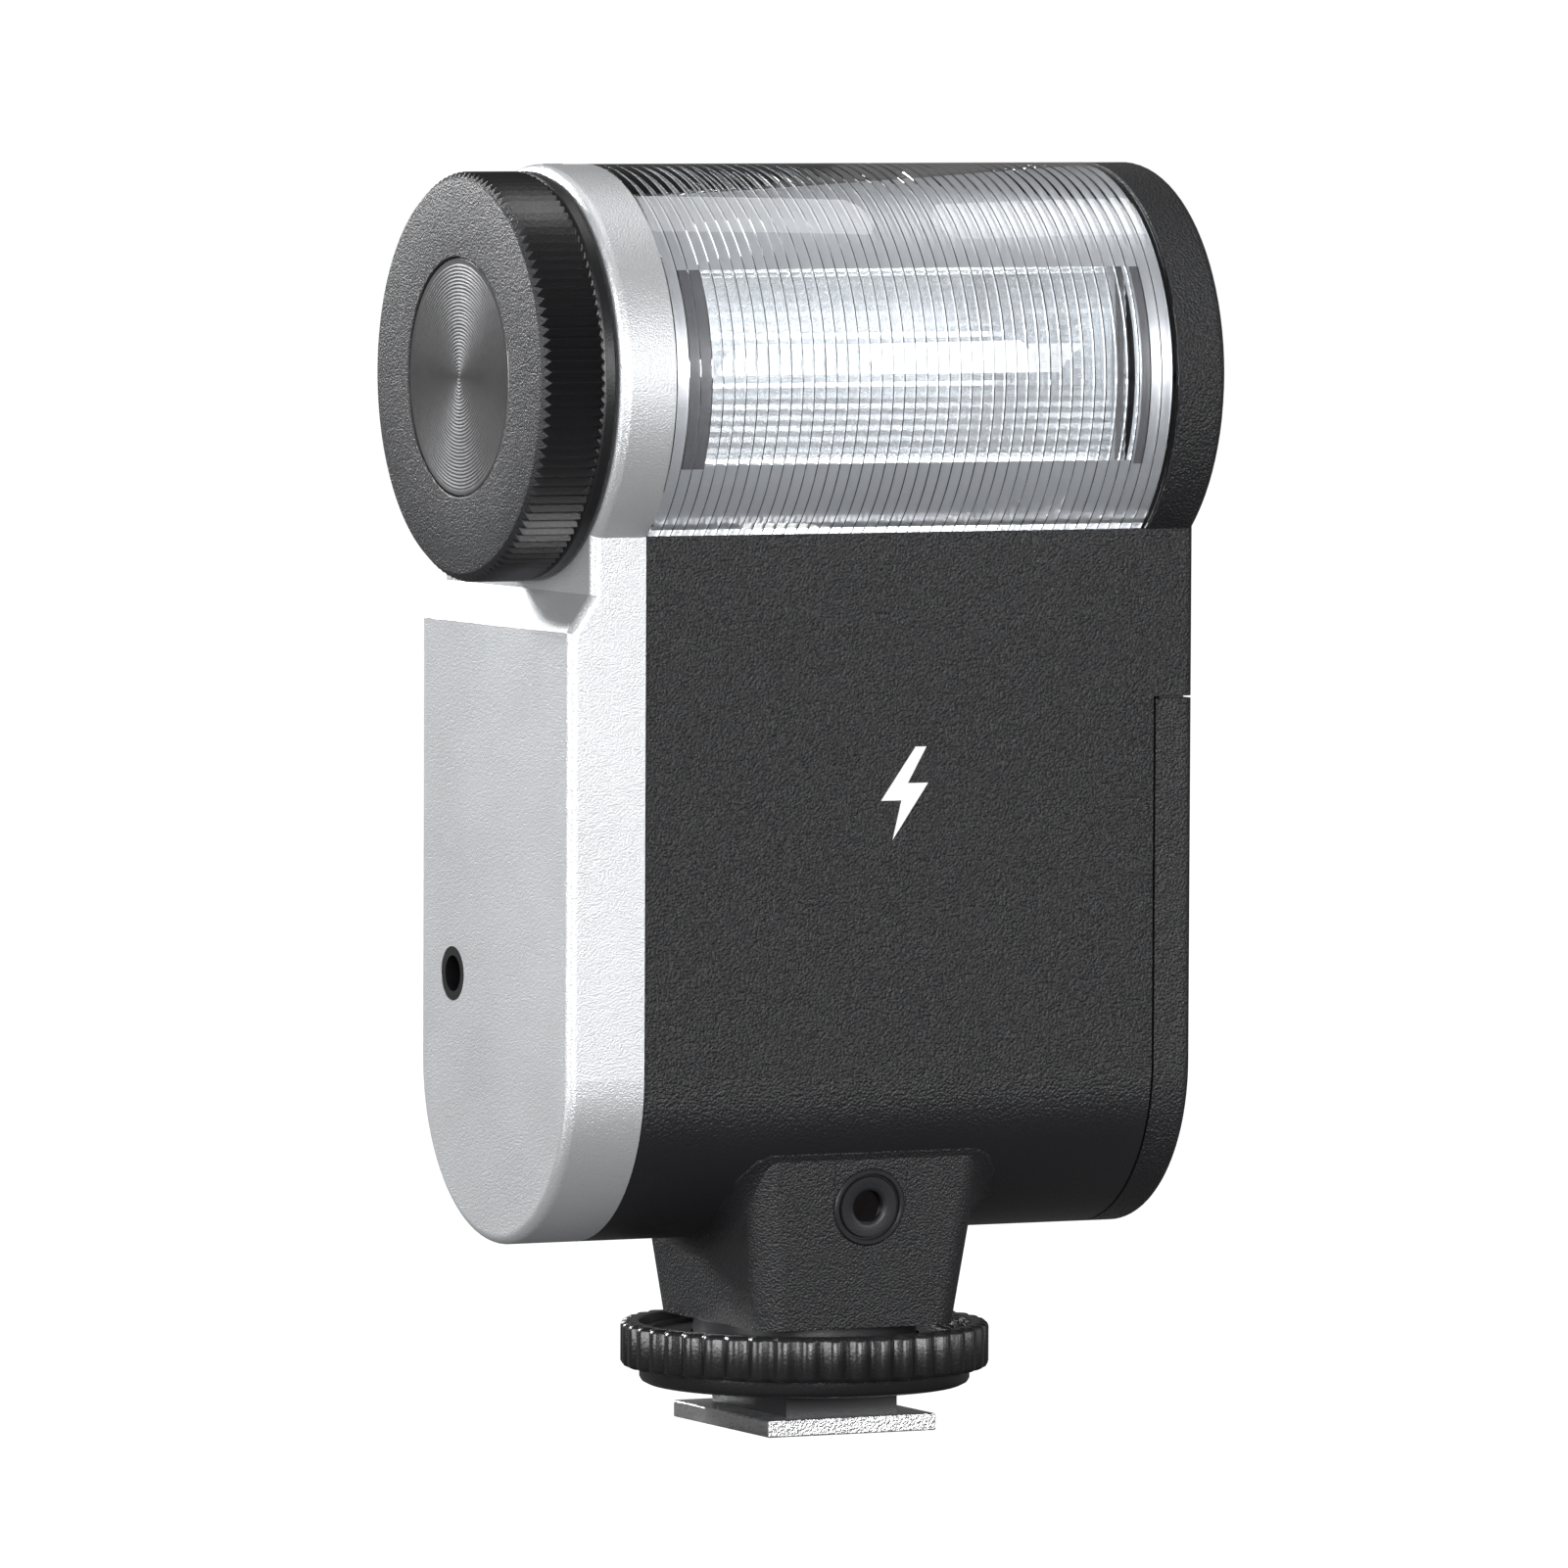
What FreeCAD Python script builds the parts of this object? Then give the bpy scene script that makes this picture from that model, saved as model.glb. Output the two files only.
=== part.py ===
import FreeCAD, Part
import Sketcher
import math
import os
import re
from FreeCAD import Placement, Rotation, Vector

# Speedlight flash with a round drum head, a power dial, a battery door and a lockable shoe foot.
# Millimetres and degrees. The origin is the centre of the foot plate's underside, +Z is up, the light
# leaves towards -Y, the dial is on -X and the battery door on +X.

DIMENSIONS = {
    # case and drum head
    "case_width": 69.0,
    "case_depth": 35.0,
    "case_bottom": 19.35,
    "head_bulge": 6.8,
    "head_height": 105.5,
    "wall": 1.6,
    "edge_round": 1.0,
    "shell_split": 2.0,
    "seam": 0.1,
    # silver side cover
    "cover_width": 8.3,
    "crease_height": 80.8,
    "crease_rise": 3.7,
    "dial_recess": 2.5,
    # lens, liner and light source
    "cap_width": 5.3,
    "lens_wall": 1.5,
    "liner_gap": 0.3,
    "liner_wall": 0.7,
    "window_inset_left": 4.6,
    "window_inset_right": 4.3,
    "window_half_height": 9.3,
    "window_rise": 1.2,
    "panel_wall": 1.2,
    "reflector_depth": 12.0,
    "reflector_wall": 0.5,
    "tube_radius": 1.9,
    "tube_setback": 8.0,
    "electrode_radius": 0.8,
    # dial
    "dial_radius": 20.2,
    "dial_length": 7.75,
    "dial_gap": 0.35,
    "dial_wall": 2.2,
    "dial_hollow": 11.0,
    "inlay_radius": 11.7,
    "inlay_depth": 0.8,
    "shaft_radius": 3.0,
    "shaft_gap": 0.05,
    "bush_radius": 4.5,
    "switch_side": 15.0,
    "switch_depth": 5.0,
    # sync jack
    "jack_back": 9.7,
    "jack_height": 45.6,
    "jack_flange": 2.68,
    "jack_bore": 1.8,
    "jack_length": 13.0,
    "jack_body_radius": 3.2,
    # battery bay and door
    "cell_radius": 7.2,
    "cell_length": 49.5,
    "cell_height": 37.5,
    "cell_spacing": 1.2,
    "cell_front": -4.0,
    "holder_wall": 1.0,
    "end_wall": 1.4,
    "door_width": 4.3,
    "door_top": 73.1,
    "door_gap": 0.25,
    "door_travel": 3.0,
    "hinge_inset": 1.95,
    "hinge_bottom": 40.0,
    "hinge_length": 18.0,
    "knuckle_rise": 3.0,
    "knuckle_height": 3.0,
    "knuckle_pitch": 9.0,
    "pin_radius": 0.6,
    "pin_gap": 0.05,
    # rear controls
    "board_gap": 3.1,
    "board_wall": 1.2,
    "slider_length": 6.0,
    "slider_width": 3.2,
    "slider_travel": 3.0,
    "slider_rise": 3.15,
    "slider_pitch": 10.0,
    "switch_across": -8.0,
    "button_radius": 2.9,
    "button_across": 15.0,
    "lamp_radius": 1.5,
    "lamp_rise": 9.0,
    "control_stand": 0.5,
    "plate_width": 40.0,
    "plate_height": 22.0,
    "plate_centre": 82.0,
    "plate_recess": 0.5,
    # foot
    "foot_width": 18.6,
    "foot_length": 22.0,
    "foot_wall": 1.7,
    "neck_width": 12.3,
    "neck_length": 17.0,
    "ring_bottom": 4.2,
    "ring_top": 10.4,
    "ring_radius": 18.5,
    "flange_radius": 16.6,
    "flange_height": 1.7,
    "ring_recess": 1.2,
    "ring_rim": 2.0,
    "ring_grooves": 44,
    "groove_radius": 1.1,
    "groove_depth": 0.5,
    "stem_radius": 11.2,
    "thread_gap": 0.3,
    "washer_rim": 2.0,
    "washer_wall": 1.0,
    "pedestal_bottom": 10.8,
    "pedestal_width": 22.0,
    "pedestal_inset": 4.5,
    "pedestal_flare": 2.35,
    "pedestal_height": 19.0,
    "pedestal_wall": 3.0,
    "corner_round": 2.8,
    "sensor_height": 23.0,
    "sensor_radius": 3.86,
    "sensor_hole": 1.65,
    "tab_width": 8.0,
    "tab_depth": 1.4,
    "contact_radius": 1.3,
    "insulator_radius": 3.1,
    "contact_gap": 0.05,
    "screw_radius": 1.0,
    "screw_head": 1.9,
    "screw_sink": 0.9,
    "case_screw_inset": 11.3,
    "case_screw_low": 64.6,
    # electronics
    "board_drop": 6.85,
    "board_top": 84.0,
    "capacitor_radius": 7.0,
    "capacitor_front": -6.5,
    "capacitor_left": -16.0,
    "capacitor_right": 20.0,
    "bay_gap": 3.0,
    "transformer_left": 2.0,
    "transformer_front": 2.0,
    "transformer_side": 13.0,
    "transistor_left": -14.0,
    "transistor_front": 7.0,
    "transistor_side": 10.0,
    "filter_radius": 2.4,
    "filter_height": 36.0,
    "filter_across": -13.0,
    "filter_pitch": 7.0,
    "coil_left": -4.0,
    "coil_width": 10.0,
    "coil_height": 8.0,
    "coil_depth": 6.0,
    "lead_radius": 0.6,
    "lead_back": 4.2,
}

# Sizes that follow from the driving dimensions, by the name that the expressions below use.
DERIVED = {
    "head_radius": "(case_depth / 2 + head_bulge / 2)",
    "window_left": "(cover_width - case_width / 2 + window_inset_left)",
    "window_right": "(case_width / 2 - cap_width - window_inset_right)",
    "cell_pitch": "(2 * cell_radius + cell_spacing)",
    "board_back": "(case_depth / 2 - wall - board_gap)",
    "washer_radius": "(stem_radius + washer_rim)",
    "case_screw_across": "(case_width / 2 - case_screw_inset)",
    "case_screw_high": "(head_height - head_radius - wall)",
    "pedestal_front": "(case_depth / 2 - pedestal_inset)",
    "pedestal_back": "(case_depth / 2 - pedestal_inset - 1)",
    "power_height": "(case_bottom + case_depth / 2 + slider_rise)",
    "mode_height": "(power_height + slider_pitch)",
    "button_height": "(power_height + slider_pitch / 2)",
    "board_low": "(case_bottom + case_depth / 2 - board_drop)",
}

doc = FreeCAD.newDocument("speedlight")
dims = doc.addObject("Spreadsheet::Sheet", "Dims")
for row, (alias, size) in enumerate(DIMENSIONS.items(), 1):
    dims.set(f"A{row}", alias)
    dims.set(f"B{row}", str(size))
    dims.setAlias(f"B{row}", alias)
doc.recompute()

ALIASES = re.compile(r"\b(" + "|".join(DIMENSIONS) + r")\b")
FOLLOWERS = re.compile(r"\b(" + "|".join(DERIVED) + r")\b")
TURNS = {
    "X": Rotation(Vector(0, 1, 0), 90),
    "Y": Rotation(Vector(1, 0, 0), -90),
    "Z": Rotation(),
}
subparts = []

# Places that several pieces share, as expressions of the sheet.
LEFT = "(-case_width / 2)"
RIGHT = "(case_width / 2)"
BACK = "(case_depth / 2)"
FRONT = "(-case_depth / 2)"
ROUND = "(case_bottom + case_depth / 2)"
HEAD_Y = "(case_depth / 2 - head_radius)"
COVER_SEAM = f"({LEFT} + cover_width)"
CAP_SEAM = f"({RIGHT} - cap_width)"
DIAL_FACE = f"({LEFT} + dial_recess)"
DIAL_BACK = f"({DIAL_FACE} - dial_gap)"
DIAL_FRONT = f"({DIAL_BACK} - dial_length)"
LENS_BOTTOM = "(head_height - sqrt(head_radius * head_radius - (case_depth - head_radius) ^ 2))"
LINER_RADIUS = "(head_radius - lens_wall - liner_gap)"
WINDOW_Z = "(head_height + window_rise)"
WINDOW_LOW = f"({WINDOW_Z} - window_half_height)"
WINDOW_HIGH = f"({WINDOW_Z} + window_half_height)"
WINDOW_REACH = "(window_half_height + window_rise + 1)"
PANEL_FRONT = f"({HEAD_Y} - sqrt(({LINER_RADIUS} - liner_wall) ^ 2 - {WINDOW_REACH} ^ 2) + 0.1)"
MOUTH_Y = f"({PANEL_FRONT} + panel_wall + 0.1)"
TUBE_Y = f"({MOUTH_Y} + tube_setback)"
DOOR_IN = f"({RIGHT} - door_width)"
BODY_END = f"({DOOR_IN} - door_gap)"
BAY_END = f"({BODY_END} - end_wall)"
HINGE_X = f"({DOOR_IN} + hinge_inset)"
HINGE_Y = f"({BACK} - hinge_inset)"
HOLDER_FRONT = "(cell_front - cell_radius - 0.4 - holder_wall)"
HOLDER_BACK = "(cell_front + cell_radius + 0.4 + holder_wall)"
HOLDER_LOW = "(cell_height - cell_radius - 0.3 - holder_wall)"
HOLDER_HIGH = "(cell_height + cell_pitch + cell_radius + 0.3 + holder_wall)"
CELL_END = f"({RIGHT} - wall - 1.7)"
HOLDER_END = f"({CELL_END} - cell_length - 4)"
BOARD_FRONT = "(board_back - board_wall)"
STEM_BOTTOM = "(ring_bottom + washer_wall + 0.3)"
TAPER = "(pedestal_flare / pedestal_height)"
SENSOR_FACE = f"(-pedestal_front - {TAPER} * (sensor_height - pedestal_bottom))"


def linked(text):
    """The expression with the followers worked out and every dimension's name pointing at the sheet."""
    worked_out = str(text)
    while FOLLOWERS.search(worked_out):
        worked_out = FOLLOWERS.sub(lambda match: DERIVED[match.group(1)], worked_out)
    return ALIASES.sub(r"Dims.\1", worked_out)


def value(text):
    """The present number of an expression, for shapes that no property can hold."""
    return float(dims.evalExpression(linked(text)))


def place(item, spot):
    """Bind an object's position to three expressions."""
    for letter, text in zip("xyz", spot):
        item.setExpression("Placement.Base." + letter, linked(text))


def box(across, deep, high):
    """A box from three (low, high) pairs of expressions."""
    item = doc.addObject("Part::Box", "block")
    for name, (low, top) in zip(("Length", "Width", "Height"), (across, deep, high)):
        item.setExpression(name, linked(f"({top}) - ({low})"))
    place(item, (across[0], deep[0], high[0]))
    return item


def axial(item, axis, centre, span):
    """Turn a round primitive onto an axis and stretch it over a span of that axis."""
    item.Placement = Placement(Vector(), TURNS[axis])
    item.setExpression("Height", linked(f"({span[1]}) - ({span[0]})"))
    first, second = centre
    spots = {"X": (span[0], first, second), "Y": (first, span[0], second), "Z": (first, second, span[0])}
    place(item, spots[axis])
    return item


def cylinder(axis, radius, centre, span):
    """A cylinder along X, Y or Z; centre is its two other coordinates."""
    item = doc.addObject("Part::Cylinder", "round")
    item.setExpression("Radius", linked(radius))
    return axial(item, axis, centre, span)


def cone(axis, radii, centre, span):
    """A cone frustum along X, Y or Z, from its low radius to its high radius."""
    item = doc.addObject("Part::Cone", "taper")
    item.setExpression("Radius1", linked(radii[0]))
    item.setExpression("Radius2", linked(radii[1]))
    return axial(item, axis, centre, span)


def joined(*items):
    """One shape made of several."""
    if len(items) == 1:
        return items[0]
    item = doc.addObject("Part::MultiFuse", "joined")
    item.Shapes = list(items)
    item.Refine = True
    return item


def cut(base, *tools):
    """The base with every tool taken away."""
    item = doc.addObject("Part::Cut", "cut")
    item.Base = base
    item.Tool = joined(*tools)
    item.Refine = True
    return item


def shared(*items):
    """What several shapes have in common."""
    item = doc.addObject("Part::MultiCommon", "shared")
    item.Shapes = list(items)
    item.Refine = True
    return item


def ring(axis, outer, inner, centre, span):
    """A tube with its bore right through."""
    wide = (f"{span[0]} - 1", f"{span[1]} + 1")
    return cut(cylinder(axis, outer, centre, span), cylinder(axis, inner, centre, wide))


def rounded(item, size, wanted):
    """Round the edges that the wanted function picks."""
    doc.recompute()
    result = doc.addObject("Part::Fillet", "rounded")
    result.Base = item
    edges = [number for number, edge in enumerate(item.Shape.Edges, 1) if wanted(edge)]
    result.Edges = [(number, value(size), value(size)) for number in edges]
    return result


def subpart(name, item):
    """Give an object its sub-part name and keep it for writing."""
    item.Label = name
    subparts.append(item)
    return item


def body(name, spot=("0", "0", "0")):
    """An empty PartDesign body at a place."""
    item = doc.addObject("PartDesign::Body", name + "_body")
    place(item, spot)
    return item


def outline(owner, role, corners, lift="0"):
    """A closed sketch of straight sides on an origin plane, each corner tied to the sheet."""
    sketch = owner.newObject("Sketcher::SketchObject", "outline")
    plane = next(item for item in owner.Origin.OriginFeatures if item.Role == role)
    sketch.AttachmentSupport = [(plane, "")]
    sketch.MapMode = "FlatFace"
    sketch.setExpression("AttachmentOffset.Base.z", linked(lift))
    points = [Vector(value(first), value(second), 0) for first, second in corners]
    count = len(points)
    for index in range(count):
        sketch.addGeometry(Part.LineSegment(points[index], points[(index + 1) % count]), False)
    for index in range(count):
        sketch.addConstraint(Sketcher.Constraint("Coincident", index, 2, (index + 1) % count, 1))
    for index, corner in enumerate(corners):
        for kind, text, number in zip(("DistanceX", "DistanceY"), corner, points[index]):
            row = sketch.addConstraint(Sketcher.Constraint(kind, -1, 1, index, 1, number))
            sketch.setExpression(f"Constraints[{row}]", linked(text))
    return sketch


def circle(owner, role, centre, radius, lift="0"):
    """A sketch of one circle on an origin plane, tied to the sheet."""
    sketch = owner.newObject("Sketcher::SketchObject", "circle")
    plane = next(item for item in owner.Origin.OriginFeatures if item.Role == role)
    sketch.AttachmentSupport = [(plane, "")]
    sketch.MapMode = "FlatFace"
    sketch.setExpression("AttachmentOffset.Base.z", linked(lift))
    middle = Vector(value(centre[0]), value(centre[1]), 0)
    sketch.addGeometry(Part.Circle(middle, Vector(0, 0, 1), value(radius)), False)
    rules = [("DistanceX", centre[0]), ("DistanceY", centre[1])]
    for kind, text in rules:
        row = sketch.addConstraint(Sketcher.Constraint(kind, -1, 1, 0, 3, value(text)))
        sketch.setExpression(f"Constraints[{row}]", linked(text))
    row = sketch.addConstraint(Sketcher.Constraint("Radius", 0, value(radius)))
    sketch.setExpression(f"Constraints[{row}]", linked(radius))
    return sketch


def pad(owner, sketch, length):
    """A pad along the sketch's normal."""
    feature = owner.newObject("PartDesign::Pad", "pad")
    feature.Profile = sketch
    feature.setExpression("Length", linked(length))
    return feature


def pocket(owner, sketch, length, reverse=False):
    """A pocket that is checked to have cut something."""
    doc.recompute()
    before = owner.Shape.Volume
    feature = owner.newObject("PartDesign::Pocket", "pocket")
    feature.Profile = sketch
    feature.setExpression("Length", linked(length))
    feature.Reversed = reverse
    doc.recompute()
    if feature.Shape.Volume >= before:
        raise ValueError(f"the pocket in {owner.Name} cuts nothing")
    return feature


def turned(owner, corners, role="XZ_Plane", axis="H_Axis"):
    """A solid of revolution about one of the sketch's own axes."""
    sketch = outline(owner, role, corners)
    feature = owner.newObject("PartDesign::Revolution", "turned")
    feature.Profile = sketch
    feature.ReferenceAxis = (sketch, [axis])
    feature.Angle = 360
    return feature


def tile(name, across, deep, high):
    """A rectangular plate or block, padded upwards from a sketch."""
    owner = body(name)
    (left, right), (front, back), (low, top) = across, deep, high
    corners = [(left, front), (right, front), (right, back), (left, back)]
    pad(owner, outline(owner, "XY_Plane", corners, low), f"({top}) - ({low})")
    return subpart(name, owner)


def drum(across, inset="0"):
    """The case's section run along X: a flat body with a round bottom and the round head on top."""
    side = (f"{FRONT} + ({inset})", f"{BACK} - ({inset})")
    slab = box(across, side, (ROUND, "head_height"))
    bottom = cylinder("X", f"case_depth / 2 - ({inset})", ("0", ROUND), across)
    head = cylinder("X", f"head_radius - ({inset})", (HEAD_Y, "head_height"), across)
    return joined(slab, bottom, head)


def on_plane(edge, letter, position):
    """Whether both ends and the middle of an edge lie on a plane."""
    first, last = edge.ParameterRange
    spots = [edge.valueAt(first), edge.valueAt((first + last) / 2), edge.valueAt(last)]
    return all(abs(getattr(spot, letter) - position) < 0.001 for spot in spots)


def wire_solid(points, radius):
    """A round lead through the points, straight between them with a tangent arc at each turn."""
    spots = [Vector(*[value(text) for text in point]) for point in points]
    edges = []
    start = spots[0]
    for index in range(1, len(spots) - 1):
        before = spots[index - 1] - spots[index]
        after = spots[index + 1] - spots[index]
        reach = 0.45 * min(before.Length, after.Length)
        enter = spots[index] + before.normalize() * reach
        leave = spots[index] + after.normalize() * reach
        bisector = (before + after).normalize()
        half = before.getAngle(after) / 2
        arc_radius = reach * math.tan(half)
        centre = spots[index] + bisector * (reach / math.cos(half))
        middle = centre - bisector * arc_radius
        edges.append(Part.LineSegment(start, enter).toShape())
        edges.append(Part.Arc(enter, middle, leave).toShape())
        start = leave
    edges.append(Part.LineSegment(start, spots[-1]).toShape())
    path = Part.Wire(edges)
    heading = edges[0].tangentAt(edges[0].FirstParameter)
    section = Part.Wire([Part.Circle(spots[0], heading, radius).toShape()])
    return path.makePipeShell([section], True, False)


def make_side_cover():
    """The silver end cover, stepped in under the dial, open towards the case."""
    solid = drum((LEFT, COVER_SEAM))
    owner = body("dial_step")
    corners = [
        (f"{LEFT} - 1", "crease_height"),
        (LEFT, "crease_height"),
        (DIAL_FACE, "crease_height + crease_rise"),
        (DIAL_FACE, "head_height + head_radius + 1"),
        (f"{LEFT} - 1", "head_height + head_radius + 1"),
    ]
    step = outline(owner, "XZ_Plane", corners, "-head_radius - case_depth")
    pad(owner, step, "2 * (head_radius + case_depth)")
    stepped = cut(solid, owner)
    edges = rounded(stepped, "edge_round", cover_edge)
    deep = f"{DIAL_FACE} + wall"
    hollow = drum((deep, f"{COVER_SEAM} + 1"), "wall")
    side = (f"{FRONT} + wall", f"{BACK} - wall")
    pocket_low = box((f"{LEFT} + wall", f"{deep} + 1"), side, (ROUND, "crease_height - wall"))
    through = (f"{LEFT} - 1", f"{deep} + 1")
    jack_hole = cylinder("X", "jack_flange + 0.05", ("jack_back", "jack_height"), through)
    bush_hole = cylinder("X", "bush_radius + 0.05", (HEAD_Y, "head_height"), through)
    subpart("side_cover", cut(edges, hollow, pocket_low, jack_hole, bush_hole))


def cover_edge(edge):
    """The outer edges of the side cover's faces, without the two creases under the dial."""
    level = abs(edge.BoundBox.ZLength) < 0.001
    outer = on_plane(edge, "x", value(LEFT)) or on_plane(edge, "x", value(DIAL_FACE))
    slope = edge.BoundBox.XLength > 1 and edge.BoundBox.ZLength > 1
    return (outer and not level) or slope


def screw_spots():
    """The across and height expressions of the four case screws."""
    heights = ("case_screw_low", "case_screw_high")
    return [(side + "case_screw_across", height) for side in ("-", "") for height in heights]


def control_holes():
    """What the rear controls need cut out of the rear wall."""
    holes = []
    reach = "(slider_length / 2 + slider_travel / 2 + 0.4)"
    slot = "(1.3 + slider_travel / 2)"
    for height in ("power_height", "mode_height"):
        across = (f"switch_across - {reach}", f"switch_across + {reach}")
        lift = (f"{height} - slider_width / 2 - 0.3", f"{height} + slider_width / 2 + 0.3")
        holes.append(box(across, (f"{BACK} - 1.1", f"{BACK} + 1"), lift))
        across = (f"switch_across - {slot}", f"switch_across + {slot}")
        holes.append(box(across, (f"{BACK} - wall - 1", f"{BACK} + 1"), (f"{height} - 1", f"{height} + 1")))
    through = (f"{BACK} - wall - 1", f"{BACK} + 1")
    holes.append(cylinder("Y", "button_radius + 0.3", ("button_across", "button_height"), through))
    lamp = ("button_across", "button_height + lamp_rise")
    holes.append(cylinder("Y", "lamp_radius + 0.05", lamp, through))
    across = ("-plate_width / 2 - 0.1", "plate_width / 2 + 0.1")
    lift = ("plate_centre - plate_height / 2 - 0.1", "plate_centre + plate_height / 2 + 0.1")
    holes.append(box(across, (f"{BACK} - plate_recess", f"{BACK} + 1"), lift))
    for spot in screw_spots():
        holes.append(cylinder("Y", "screw_head + 0.2", spot, (f"{BACK} - 2.5", f"{BACK} + 1")))
        holes.append(cylinder("Y", "screw_radius + 0.1", spot, (f"{BACK} - 5", f"{BACK} - 2")))
    return holes


def make_shells():
    """The black front and rear shells, with the cap beside the lens and room for lens and door."""
    outer = rounded(drum((f"{COVER_SEAM} + seam", RIGHT)), "edge_round", case_edge)
    main = drum((f"{COVER_SEAM} - 1", BAY_END), "wall")
    cap = shared(
        drum((f"{BAY_END} - 1", f"{RIGHT} - wall"), "wall"),
        box((LEFT, RIGHT), (f"{FRONT} - 9", BACK), ("door_top + door_gap + wall", "head_height * 2")),
    )
    door = box((BODY_END, f"{RIGHT} + 1"), (f"{FRONT} - 1", f"{BACK} + 1"), ("0", "door_top + door_gap"))
    across = (f"{COVER_SEAM} - 1", CAP_SEAM)
    lens = box(across, (f"{FRONT} - 9", "shell_split"), (LENS_BOTTOM, "head_height * 2"))
    end = (f"{BAY_END} - 1", f"{BODY_END} + 1")
    mouths = [
        cylinder("X", "cell_radius + 0.3", ("cell_front", "cell_height"), end),
        cylinder("X", "cell_radius + 0.3", ("cell_front", "cell_height + cell_pitch"), end),
    ]
    low = "hinge_bottom + knuckle_rise"
    slot_z = (f"{low} - door_travel - 0.3", f"{low} + knuckle_pitch + knuckle_height + 0.3")
    slot = box(end, (f"{HINGE_Y} - hinge_inset", f"{BACK} - wall"), slot_z)
    lead_hole = cylinder("Z", "3.5", ("0", "4"), ("case_bottom - 1", "case_bottom + 6"))
    whole = cut(outer, main, cap, door, lens, slot, lead_hole, *mouths)
    everywhere = ("-case_width", "case_width")
    tall = ("0", "head_height * 2")
    front = shared(whole, box(everywhere, ("-case_depth * 2", "shell_split"), tall))
    posts = [
        cylinder("Y", "screw_head + 0.3", spot, (f"{FRONT} + wall / 2", f"{BACK} - 4.7"))
        for spot in screw_spots()
    ]
    bores = [
        cylinder("Y", "screw_radius", spot, (f"{BACK} - 22", f"{BACK} - 4"))
        for spot in screw_spots()
    ]
    subpart("front_shell", cut(joined(front, *posts), *bores))
    rear = shared(whole, box(everywhere, ("shell_split", "case_depth * 2"), tall))
    bosses = [
        cylinder("Y", "screw_head + 0.9", spot, (f"{BACK} - 4.5", f"{BACK} - wall / 2"))
        for spot in screw_spots()
    ]
    subpart("rear_shell", cut(joined(rear, *bosses), *control_holes()))
    screws = []
    for spot in screw_spots():
        screws.append(cylinder("Y", "screw_head", spot, (f"{BACK} - 2.5", f"{BACK} - 0.9")))
        screws.append(cylinder("Y", "screw_radius", spot, (f"{BACK} - 18", f"{BACK} - 2.5")))
    subpart("case_screws", joined(*screws))


def case_edge(edge):
    """The outer edges of the case's right-hand end."""
    return on_plane(edge, "x", value(RIGHT))


def make_head():
    """Lens, silver liner, inner panel, reflector, flash tube and the frame behind them."""
    centre = (HEAD_Y, "head_height")
    everywhere = ("-case_width", "case_width")
    span = (f"{COVER_SEAM} + seam", f"{CAP_SEAM} - seam")
    wall = ring("X", "head_radius", "head_radius - lens_wall", centre, span)
    above = (f"{LENS_BOTTOM} + seam", "head_height * 2")
    region = box(everywhere, ("-case_depth", "shell_split - seam"), above)
    subpart("lens_cover", shared(wall, region))
    span = (f"{COVER_SEAM} + 0.4", f"{CAP_SEAM} - 0.4")
    skin = ring("X", LINER_RADIUS, f"{LINER_RADIUS} - liner_wall", centre, span)
    above = (f"{LENS_BOTTOM} + 0.4", "head_height * 2")
    region = box(everywhere, ("-case_depth", "shell_split - 0.4"), above)
    opening = ("window_left", "window_right")
    window = box(opening, ("-case_depth", HEAD_Y), (WINDOW_LOW, WINDOW_HIGH))
    subpart("lens_liner", cut(shared(skin, region), window))
    panel_y = (PANEL_FRONT, f"{PANEL_FRONT} + panel_wall")
    wide = ("window_left - 0.8", "window_right + 0.8")
    tile("inner_panel", wide, panel_y, (f"{WINDOW_LOW} - 0.8", f"{WINDOW_HIGH} + 0.8"))
    make_reflector()
    spot = (TUBE_Y, WINDOW_Z)
    subpart("flash_tube", cylinder("X", "tube_radius", spot, ("window_left - 1.7", "window_right + 1.7")))
    left_end = ("window_left - 2.3", "window_left - 1.7")
    right_end = ("window_right + 1.7", "window_right + 2.3")
    ends = [cylinder("X", "electrode_radius", spot, end) for end in (left_end, right_end)]
    subpart("tube_electrodes", joined(*ends))
    left_end = ("window_left - 1.5", "window_left")
    right_end = ("window_right", "window_right + 1.5")
    sleeves = [ring("X", "tube_radius + 1.2", "tube_radius", spot, end) for end in (left_end, right_end)]
    subpart("tube_grommets", joined(*sleeves))
    disc = f"{LINER_RADIUS} - liner_wall - 0.3"
    left_end = ("window_left - 3.6", "window_left - 2.4")
    right_end = ("window_right + 2.4", "window_right + 3.6")
    back_y = (f"{MOUTH_Y} + reflector_depth + 0.8", f"{MOUTH_Y} + reflector_depth + 2.3")
    back = box(("window_left - 3", "window_right + 3"), back_y, (WINDOW_LOW, WINDOW_HIGH))
    plates = [cylinder("X", disc, centre, end) for end in (left_end, right_end)]
    subpart("head_frame", joined(back, *plates))
    coil_y = (back_y[1], f"{back_y[1]} + coil_depth")
    coil_z = (f"{WINDOW_Z} - coil_height / 2", f"{WINDOW_Z} + coil_height / 2")
    tile("trigger_coil", ("coil_left", "coil_left + coil_width"), coil_y, coil_z)


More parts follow.
